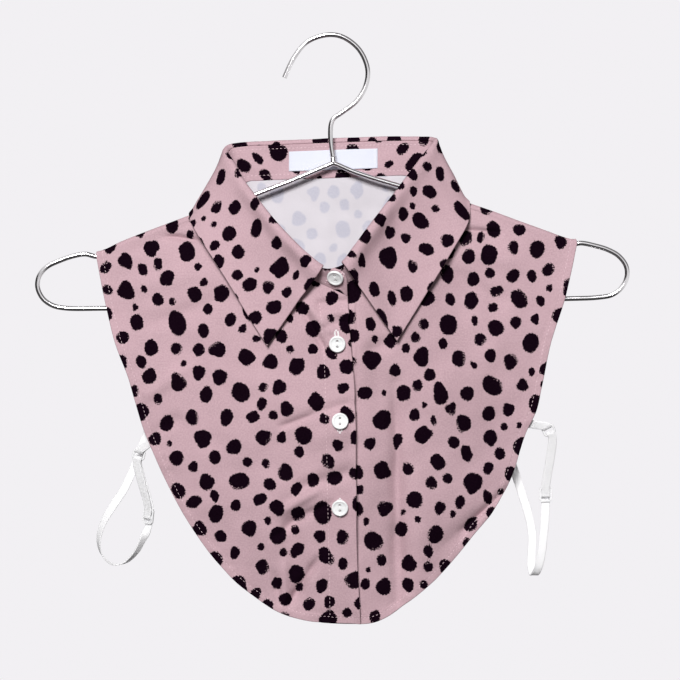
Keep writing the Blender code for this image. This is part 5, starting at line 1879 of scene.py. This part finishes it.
def polished_steel():
    steel = Finish("polished_steel", STEEL, STEEL_ROUGH[0], 1.0)
    places = steel.object_places()
    drawn = steel.noise(places, *DRAWN)
    cloudy = steel.noise(places, 90.0)
    steel.say(Roughness=steel.ramp(cloudy, 0.3, 0.7, *STEEL_ROUGH))
    steel.say(Base_Color=steel.mix(steel.ramp(cloudy, 0.35, 0.65), STEEL, STEEL_DULL))
    steel.say(Normal=steel.bump(drawn, 0.01, 0.05))
    return steel.material


def floor_finish():
    floor = Finish("studio_floor", FLOOR_PALE, 0.9)
    speck = floor.noise(floor.object_places(), 3.0, 3.0)
    floor.say(Base_Color=floor.mix(floor.ramp(speck, 0.3, 0.7), FLOOR_PALE, FLOOR_SHADE))
    return floor.material


# ---------------------------------------------------------------- studio


def build_camera():
    camera = bpy.data.cameras.new("camera")
    camera.lens = CAMERA_LENS
    camera.sensor_width = SENSOR_WIDTH
    thing = add_object("camera", camera)
    thing.location = CAMERA_AT
    thing.rotation_euler = (math.radians(90), 0.0, 0.0)
    bpy.context.scene.camera = thing


def build_floor():
    shape = bmesh.new()
    bmesh.ops.create_circle(shape, cap_ends=True, radius=FLOOR_RADIUS, segments=128)
    mesh = mesh_from(shape, "floor")
    mesh.materials.append(floor_finish())
    floor = add_object("floor", mesh)
    floor.location = (0.0, 0.0, FLOOR_AT)
    floor.visible_diffuse = False
    floor.visible_glossy = False
    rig.stage(floor)


def build_world():
    """A pale studio: plain to the camera, soft on the cloth, and banded for the wire to mirror."""
    world = bpy.data.worlds.new("studio")
    world.use_nodes = True
    bpy.context.scene.world = world
    studio = Nodes(world.node_tree)
    places = studio.add("TexCoord", {}).outputs["Generated"]
    along = studio.add("VectorMath", {0: places, 1: MIRROR_AXIS})
    along.operation = "DOT_PRODUCT"
    height = studio.add("MapRange", {"Value": along.outputs["Value"], "From Min": -1.0})
    ramp = studio.add("ValToRGB", {0: height.outputs[0]})
    bands = ramp.color_ramp.elements
    while len(bands) < len(MIRROR_BANDS):
        bands.new(0.5)
    for band, (place, grey) in zip(bands, MIRROR_BANDS):
        band.position = (place + 1) / 2
        band.color = (grey, grey, grey, 1.0)
    shown = world.node_tree.nodes["Background"]
    studio.put(shown.inputs["Color"], (*SOFT_LIGHT, 1.0))
    studio.put(shown.inputs["Strength"], SOFT_STRENGTH)
    path = studio.add("LightPath", {})
    for ray, colour in (("Is Glossy Ray", ramp.outputs[0]), ("Is Camera Ray", (*BACKDROP, 1.0))):
        seen = studio.add("Background", {"Color": colour}).outputs[0]
        shown = studio.add("MixShader", {0: path.outputs[ray], 1: shown.outputs[0], 2: seen})
    studio.put(world.node_tree.nodes["World Output"].inputs[0], shown.outputs[0])


def build_lights():
    for name, place, size, power, colour in LIGHTS:
        light = bpy.data.lights.new(name, "AREA")
        light.shape = "RECTANGLE"
        light.size, light.size_y = size
        light.energy = power
        light.color = colour
        thing = add_object(name, light)
        thing.location = place
        aim = Vector(LIGHT_AIM) - Vector(place)
        thing.rotation_mode = "QUATERNION"
        thing.rotation_quaternion = aim.to_track_quat("-Z", "Y")
        thing.visible_camera = False
        thing.visible_glossy = name == "key"


# ---------------------------------------------------------------- the whole scene


def belongs(thing, slot, *nodes):
    """The piece rides with the part, takes its finish from a slot and stands for solids."""
    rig.ride(thing, "root")
    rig.slot(thing, slot)
    if nodes:
        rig.replaces(thing, *nodes)
    return thing


def declare_cloth(thing, held, rests_on, seams=()):
    """Say what size a piece was cut to: width, length and area of what shows of it."""
    width, length, area = CUTS[thing.name]
    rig.sheet(
        thing, flat=(width * MM, length * MM), area=area * MM**2, held=held, rests_on=rests_on,
        with_pieces=seams,
    )


def sewn_panel(name, grid, way, cloth, thread, placket=None):
    """A panel with its stitching, as pieces of the part. It gives the panel's outer face."""
    thing, faces, normals = build_panel(name + "_cloth", grid, way, PRINT_SEEDS[name], cloth, placket)
    belongs(thing, "spotted_cloth", name)
    rows = stitches_through(faces, normals, -1 - HEM_MARKS.index(STITCH_IN))
    if placket is placket_over:
        rows += stitches_on(tree_of([(faces[0], way)]), PLACKET_SEAM)
    seams = belongs(add_stitches(name + "_stitches", rows, thread), "spotted_cloth")
    declare_cloth(thing, "hung", ["hanger_frame"], [seams])
    return faces[0]


def build_panels(cloth, thread):
    """Both fronts and the back, with their stitching. It gives the outer face of the top front."""
    right, left = (spread(front_grid(side, *DENSE), *FRONT_POINTS) for side in (False, True))
    back = spread(back_grid(*DENSE), *BACK_POINTS, both_ends=True)
    outer = sewn_panel("front_right", right, TO_FRONT, cloth, thread, placket_over)
    sewn_panel("front_left", left, TO_FRONT, cloth, thread, placket_under)
    sewn_panel("back_panel", back, TO_BACK, cloth, thread)
    return outer


def build_collar(cloth, thread):
    """Stand and leaf with their stitching. It gives the stand's middle surface and outer face."""
    last = len(COLLAR) - 1
    stations = np.arange(last * STATIONS_A_ROW + 1) / STATIONS_A_ROW
    stand = stand_grid(stations, STAND_COLUMNS)
    seeds = PRINT_SEEDS["collar_stand"], PRINT_SEEDS["collar_leaf"]
    thing, faces, normals = collar_piece("collar_stand_cloth", stand, seeds[0], cloth)
    belongs(thing, "spotted_cloth", "collar_stand")
    rows = []
    for column in (STAND_STITCH[0], -1 - STAND_STITCH[1]):
        rows += stitches_through(faces, normals, column)
    seams = belongs(add_stitches("collar_stand_stitches", rows, thread), "spotted_cloth")
    declare_cloth(thing, "hung", ["front_right_cloth", "front_left_cloth", "back_panel_cloth"], [seams])

    ground = tree_of([
        (front_grid(False, *FRONT_COARSE)[..., :3], TO_FRONT),
        (front_grid(True, *FRONT_COARSE)[..., :3], TO_FRONT),
        (back_grid(*BACK_COARSE)[..., :3], TO_BACK),
    ])
    on_leaf = stations[(stations >= POINT_RIGHT) & (stations <= POINT_LEFT)]
    leaf = leaf_grid(on_leaf, LEAF_STEPS, ground)
    thing, _, _ = collar_piece("collar_leaf_cloth", leaf, seeds[1], cloth)
    belongs(thing, "spotted_cloth", "collar_leaf")
    declare_cloth(thing, "folded", ["collar_stand_cloth"])
    return stand, faces[0]


def build_buttons(tree, plastic, white, pink):
    mesh = button_mesh(plastic)
    places, holes = [], []
    for (node, x, z), (shift, turn) in zip(BUTTONS, HOLES):
        thing, middle, axes = add_button(node, mesh, tree, x, z)
        belongs(thing, "button_plastic", node)
        places.append((middle, axes))
        holes.append(buttonhole(tree, x, z + shift, math.radians(turn)))
    belongs(button_threads(places, white), "button_plastic")
    size = (HOLE_WIDTH / 2, 0.0, HOLE_PITCH * 1.1)
    belongs(add_stitches("buttonhole_of_stand", holes[0], pink, size, 0.2), "spotted_cloth")
    belongs(add_stitches("buttonholes", sum(holes[1:], []), white, size, 0.2), "spotted_cloth")


def build_elastics(elastic, plastic):
    sides = (
        ("right", SLIDER_RIGHT, RING_RIGHT, BAND_RIGHT, TAB_RIGHT_START, -1),
        ("left", SLIDER_LEFT, RING_LEFT, BAND_LEFT, TAB_LEFT_START, 1),
    )
    for side, slider, ring, free, tab, sign in sides:
        belongs(add_slider(f"slider_{side}_plate", slider, plastic), "button_plastic", f"slider_{side}")
        belongs(add_ring(f"ring_{side}_loop", ring, plastic), "button_plastic", f"ring_{side}")
        band = add_band(f"strap_{side}_elastic", band_rows(free, slider, ring, sign), elastic)
        belongs(band, "elastic", f"strap_{side}")
        fold = add_band(f"tab_{side}_elastic", tab_rows(tab, ring), elastic)
        belongs(fold, "elastic", f"tab_{side}")


build_camera()
build_floor()
build_world()
build_lights()
bpy.context.scene.view_settings.view_transform = "Standard"

cotton = spotted_cotton()
pink_thread = sewing_thread("pink_thread", THREAD_PINK, THREAD_PINK_DARK)
white_thread = sewing_thread("white_thread", THREAD_WHITE, THREAD_WHITE_DARK)
button_plastic = white_plastic("button_plastic", BUTTON_WHITE, BUTTON_SHADE, 0.22)
fitting_plastic = white_plastic("fitting_plastic", FITTING_WHITE, FITTING_SHADE, 0.3)

front_outer = build_panels(cotton, pink_thread)
stand_middle, stand_outer = build_collar(cotton, pink_thread)
outer_tree = tree_of([(front_outer, TO_FRONT), (stand_outer, TO_BACK)])
build_buttons(outer_tree, button_plastic, white_thread, pink_thread)
build_elastics(ribbed_elastic(), fitting_plastic)
stand_normals = facing(stand_middle, TO_BACK)
label, label_stitches = build_label(stand_middle, stand_normals, woven_label(), white_thread)
belongs(label, "woven_label", "neck_label")
declare_cloth(label, "laid", ["collar_stand_cloth"], [belongs(label_stitches, "woven_label")])
hook_wire, frame_wire, weld = build_hanger(polished_steel())
belongs(hook_wire, "steel_wire", "hanger_hook")
belongs(frame_wire, "steel_wire", "hanger_frame")
belongs(weld, "steel_wire")

with open("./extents.json", "w") as out:
    out.write(json.dumps({"cad": CAD_BOX, "visual": [list(corner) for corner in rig.bounds()]}))
